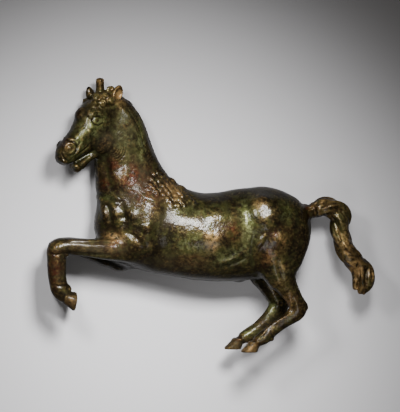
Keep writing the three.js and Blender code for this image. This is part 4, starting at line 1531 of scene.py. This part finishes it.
        # Lacquer shines unevenly, and hardly at all where the skin is dull
        cloudy = add_node(
            tree, "ShaderNodeMapRange", {"Value": found["mottle"]}, clamp=True,
            From_Min=self.cloudy[0], From_Max=self.cloudy[1],
            To_Min=self.roughness[0], To_Max=self.roughness[1],
        )
        rough = add_node(
            tree, "ShaderNodeMath", {0: found["matt"], 2: cloudy.outputs[0]}, operation="MULTIPLY_ADD",
            input_1=self.matt_roughness, use_clamp=True,
        )
        coat, metal = (
            add_node(
                tree, "ShaderNodeMapRange", {"Value": found["matt"]}, clamp=True,
                From_Min=0.0, From_Max=self.dull_from, To_Min=bright, To_Max=dull,
            )
            for bright, dull in (self.coat, self.metallic)
        )
        # Marks of the file and the grain of the cast skin break the highlights up
        coarse = add_node(
            tree, "ShaderNodeBump", {"Height": found["tooling"]},
            Strength=self.file_marks[0], Distance=self.file_marks[1] * MM,
        )
        fine = add_node(
            tree, "ShaderNodeBump", {"Height": found["grain"], "Normal": coarse.outputs[0]},
            Strength=self.cast_grain[0], Distance=self.cast_grain[1] * MM,
        )
        shader = add_node(
            tree, "ShaderNodeBsdfPrincipled",
            {
                "Base Color": colour,
                "Roughness": rough.outputs[0],
                "Metallic": metal.outputs[0],
                "Coat Weight": coat.outputs[0],
                "Normal": fine.outputs[0],
                "Coat Normal": coarse.outputs[0],
            },
            Coat_Roughness=self.coat_roughness, Specular_IOR_Level=self.under_lacquer,
            Specular_Tint=linear(self.edge),
        )
        add_node(tree, "ShaderNodeOutputMaterial", {"Surface": shader.outputs[0]})
        return made


@dataclass
class Casting:
    """The whole horse: its forms fused, carved, tinted and laid down as one bronze casting."""

    body: Body = field(default_factory=Body)
    mane: Mane = field(default_factory=Mane)
    head: Head = field(default_factory=Head)
    legs: Legs = field(default_factory=Legs)
    tail: Tail = field(default_factory=Tail)
    finish: LacqueredBronze = field(default_factory=LacqueredBronze)
    voxel: float = 0.72
    smoothing: int = 2
    most_triangles: int = 192_000
    # Size of the wax's lumps and their height, in mm
    lumps: tuple[Pair, ...] = ((19.0, 0.42), (8.0, 0.15), (3.6, 0.05))
    # Rounds of evening that show small and wide hollows, and the depths in mm they are scaled by
    small_rounds: int = 3
    wide_rounds: int = 24
    full_hollow: float = 0.22
    full_edge: float = 0.28
    full_dip: float = 0.6
    # Taken off the scaled depth of a wide hollow, so that shallow ones don't count
    dip_from: float = 0.4
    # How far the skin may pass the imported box, as a share of the box's size
    slack: float = 0.02

    def build(self, solid: bpy.types.Object) -> bpy.types.Object:
        """Makes the finished piece.

        Args:
            solid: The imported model's node, which the flesh is taken from.

        Returns:
            The piece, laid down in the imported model's frame.
        """
        clay = Clay()
        self.body.build(clay, solid)
        for part in (self.head, self.mane, self.legs, self.tail):
            part.build(clay)
        skin = clay.fused("horse_casting", self.voxel, self.smoothing)
        log.info("fused skin: %d faces", len(skin.polygons))
        self.carve(skin)
        share = self.most_triangles / (2 * len(skin.polygons))
        skin = remade(skin, "horse_casting", [("DECIMATE", {"ratio": min(1.0, share)})])
        log.info("finished skin: %d faces", len(skin.polygons))
        self.tint(skin)
        skin.transform(LYING.laid_down())
        self.seat(skin)
        skin.shade_smooth()
        skin.materials.append(self.finish.material())
        return placed("horse_casting", skin)

    def carve(self, skin: bpy.types.Mesh) -> None:
        """Cuts and raises all strokes, flattens the facets, and makes the wax uneven.

        Args:
            skin: The fused skin, which is changed.
        """
        points, normals = surface(skin)
        tree = BVHTree.FromPolygons(points.tolist(), [tuple(p.vertices) for p in skin.polygons])
        shift = np.zeros(len(points))
        for part in (self.body, self.mane, self.head, self.legs, self.tail):
            for stroke in part.strokes():
                for side in stroke.relief.value:
                    shift += stroke.shift(side, part.move(), tree, points)
        carved = points + normals * shift[:, None]
        for plane in self.body.planes:
            shift += plane.shift(carved, normals)
        for size, height in self.lumps:
            shift += [height * noise.noise(Vector(point) / size) for point in points]
        move_to(skin, points + normals * shift[:, None])

    def tint(self, skin: bpy.types.Mesh) -> None:
        """Stores where the skin is worn, green, red or dull, where it is hollow or sharp, and where shade
        is painted.

        Args:
            skin: The carved skin, which gets the attributes.
        """
        points, normals = surface(skin)
        zones = np.zeros((len(points), len(Tint)))
        for part in (self.body, self.head, self.legs, self.tail):
            for patch in part.patches():
                zones[:, patch.tint] = np.maximum(zones[:, patch.tint], patch.reach(points))
        small = hollowness(skin, points, normals, self.small_rounds)
        wide = hollowness(skin, points, normals, self.wide_rounds)
        relief = np.ones((len(points), 4))
        # Painted shade: small hollows and the spots of painted shade are darkened
        relief[:, 0] = np.maximum(np.clip(small / self.full_hollow, 0, 1), zones[:, Tint.PAINTED_SHADE])
        relief[:, 1] = np.clip(wide / self.full_dip - self.dip_from, 0, 1)
        relief[:, 2] = np.clip(-small / self.full_edge, 0, 1)
        for name, values in (("patina", zones[:, :Tint.PAINTED_SHADE]), ("relief", relief)):
            layer = skin.attributes.new(name, "FLOAT_COLOR", "POINT")
            layer.data.foreach_set("color", values.ravel())

    def seat(self, skin: bpy.types.Mesh) -> None:
        """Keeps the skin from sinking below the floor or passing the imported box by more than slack.

        Args:
            skin: The skin, laid down in metres, which is changed.
        """
        low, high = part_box("horse")
        points, _ = surface(skin)
        slack = self.slack * (np.array(high) - np.array(low))
        points = np.clip(points, np.array(low) - slack, np.array(high) + slack)
        points[:, 2] = np.maximum(points[:, 2], low.z)
        move_to(skin, points)


def surface(mesh: bpy.types.Mesh) -> tuple[np.ndarray, np.ndarray]:
    """Reads a mesh.

    Args:
        mesh: The mesh.

    Returns:
        Places and normals of its vertices, one row each.
    """
    count = len(mesh.vertices)
    points = np.empty(3 * count)
    normals = np.empty(3 * count)
    mesh.vertices.foreach_get("co", points)
    mesh.vertex_normals.foreach_get("vector", normals)
    return points.reshape(-1, 3), normals.reshape(-1, 3)


def move_to(mesh: bpy.types.Mesh, points: np.ndarray) -> None:
    """Moves the vertices of a mesh to new places."""
    mesh.vertices.foreach_set("co", points.ravel())
    mesh.update()


def hollowness(
    mesh: bpy.types.Mesh, points: np.ndarray, normals: np.ndarray, rounds: int
) -> np.ndarray:
    """Measures how far each vertex lies below the evened skin round it.

    Args:
        mesh: The skin.
        points: Places of its vertices.
        normals: Their normals.
        rounds: How often the skin is evened; more rounds show wider hollows.

    Returns:
        Depth in mm, below zero on ridges.
    """
    ends = np.empty(2 * len(mesh.edges), int)
    mesh.edges.foreach_get("vertices", ends)
    a, b = ends.reshape(-1, 2).T
    count = np.bincount(ends, minlength=len(points))
    evened = points.copy()
    for _ in range(rounds):
        for axis in range(3):
            values = evened[:, axis]
            total = np.bincount(a, values[b], len(points)) + np.bincount(b, values[a], len(points))
            evened[:, axis] = total / count
    return ((evened - points) * normals).sum(axis=1)


@dataclass(frozen=True)
class Lamp:
    """A soft box with a grid.

    Its place and the place that it faces are metres to the right, up and towards the camera
    from the middle of the picture.
    """

    name: str
    at: Point
    to: Point
    size: Pair
    power: float
    spread_deg: float = 180


@dataclass(frozen=True)
class MattPaper:
    """Pale grey backdrop paper, without a gleam, so that the eye sees only soft shadows on it."""

    colour: str = "#B6B5B7"
    roughness: float = 0.9

    def material(self) -> bpy.types.Material:
        """Makes the finish.

        Returns:
            The material.
        """
        paper = bpy.data.materials.new("matt_paper")
        paper.use_nodes = True
        shader = paper.node_tree.nodes["Principled BSDF"]
        shader.inputs["Base Color"].default_value = linear(self.colour)
        shader.inputs["Roughness"].default_value = self.roughness
        return paper


@dataclass
class Studio:
    """Pale floor, soft lights and the camera that looks down at the lying horse."""

    azimuth_deg: float = 10
    elevation_deg: float = 5
    centre_mm: Pair = (-34.85, 123.25)
    body_depth_mm: float = -15
    view_width: float = 0.340
    distance: float = 5.0
    sensor: float = 36
    paper: MattPaper = field(default_factory=MattPaper)
    floor_size: float = 14
    lamps: tuple[Lamp, ...] = (
        Lamp("key", (0.12, 0.25, 0.70), (-0.05, -0.11, 0), (0.19, 0.16), 1.14, 41),
        Lamp("side", (-0.22, 0.20, 0.66), (-0.06, -0.08, 0), (0.12, 0.12), 0.36, 46),
        Lamp("rim", (-0.60, 0.08, 0.13), (0, 0, 0), (0.2, 0.5), 0.15),
        Lamp("floor", (0.10, -0.20, 0.28), (0.08, -0.12, 0), (0.2, 0.08), 0.05, 60),
    )
    world_colour: str = "#EDEAE6"
    world_strength: float = 0.15

    def axes(self) -> tuple[Vector, Vector, Vector]:
        """Works out the view's directions.

        Returns:
            Right, up and look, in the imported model's frame.
        """
        a, e = math.radians(self.azimuth_deg), math.radians(self.elevation_deg)
        look = Vector((math.sin(a) * math.cos(e), math.cos(a) * math.cos(e), -math.sin(e)))
        right = Vector((math.cos(a), -math.sin(a), 0))
        turn = LYING.turn().to_3x3()
        return turn @ right, turn @ right.cross(look), turn @ look

    def view(self) -> Matrix:
        """Returns the turn whose X is the view's right, Y its up and Z towards the camera."""
        right, up, look = self.axes()
        return Matrix((right, up, -look)).transposed()

    def aim(self) -> Vector:
        """Finds the point that the middle of the picture shows.

        Returns:
            The point, in metres.
        """
        right, up, look = self.axes()
        offset = right * self.centre_mm[0] + up * self.centre_mm[1] + look * self.body_depth_mm
        return (Vector(LYING.place_mm) + offset) * MM

    def build_camera(self) -> None:
        """Adds the camera at the photograph's viewing angle."""
        data = bpy.data.cameras.new("camera")
        data.sensor_fit = "HORIZONTAL"
        data.sensor_width = self.sensor
        data.lens = self.sensor * self.distance / self.view_width
        data.clip_end = 4 * self.distance
        camera = placed("camera", data)
        look = self.axes()[2]
        stand = Matrix.Translation(self.aim() - look * self.distance)
        camera.matrix_world = stand @ self.view().to_4x4()
        bpy.context.scene.camera = camera

    def build_lamp(self, lamp: Lamp) -> None:
        """Adds a soft box.

        Args:
            lamp: Its place, size and strength.
        """
        data = bpy.data.lights.new(lamp.name, "AREA")
        data.shape = "RECTANGLE"
        data.size, data.size_y = lamp.size
        data.energy = lamp.power
        data.spread = math.radians(lamp.spread_deg)
        view = self.view()
        away = view @ (Vector(lamp.at) - Vector(lamp.to)).normalized()
        stand = Matrix.Translation(self.aim() + view @ Vector(lamp.at))
        placed(lamp.name, data).matrix_world = stand @ pointed(away)

    def build_floor(self) -> None:
        """Adds the plain pale floor."""
        shape = bmesh.new()
        bmesh.ops.create_grid(shape, x_segments=1, y_segments=1, size=self.floor_size / 2)
        floor = placed("floor", as_mesh(shape, "floor"))
        floor.data.materials.append(self.paper.material())

    def build_world(self) -> None:
        """Adds the even light of the room."""
        world = bpy.data.worlds.new("room")
        world.use_nodes = True
        background = world.node_tree.nodes["Background"]
        background.inputs["Color"].default_value = linear(self.world_colour)
        background.inputs["Strength"].default_value = self.world_strength
        bpy.context.scene.world = world

    def build(self) -> None:
        """Sets up the whole studio."""
        self.build_camera()
        self.build_floor()
        self.build_world()
        for lamp in self.lamps:
            self.build_lamp(lamp)


def main() -> None:
    """Builds the studio and the horse, and reports what was made."""
    logging.basicConfig(level=logging.INFO, format="%(name)s: %(message)s")
    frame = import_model()
    Studio().build()
    casting = Casting().build(frame["nodes"]["horse"])
    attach(casting, "root")
    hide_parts("horse")
    log.info("piece %s: %d vertices", casting.name, len(casting.data.vertices))


if __name__ == "__main__":
    main()
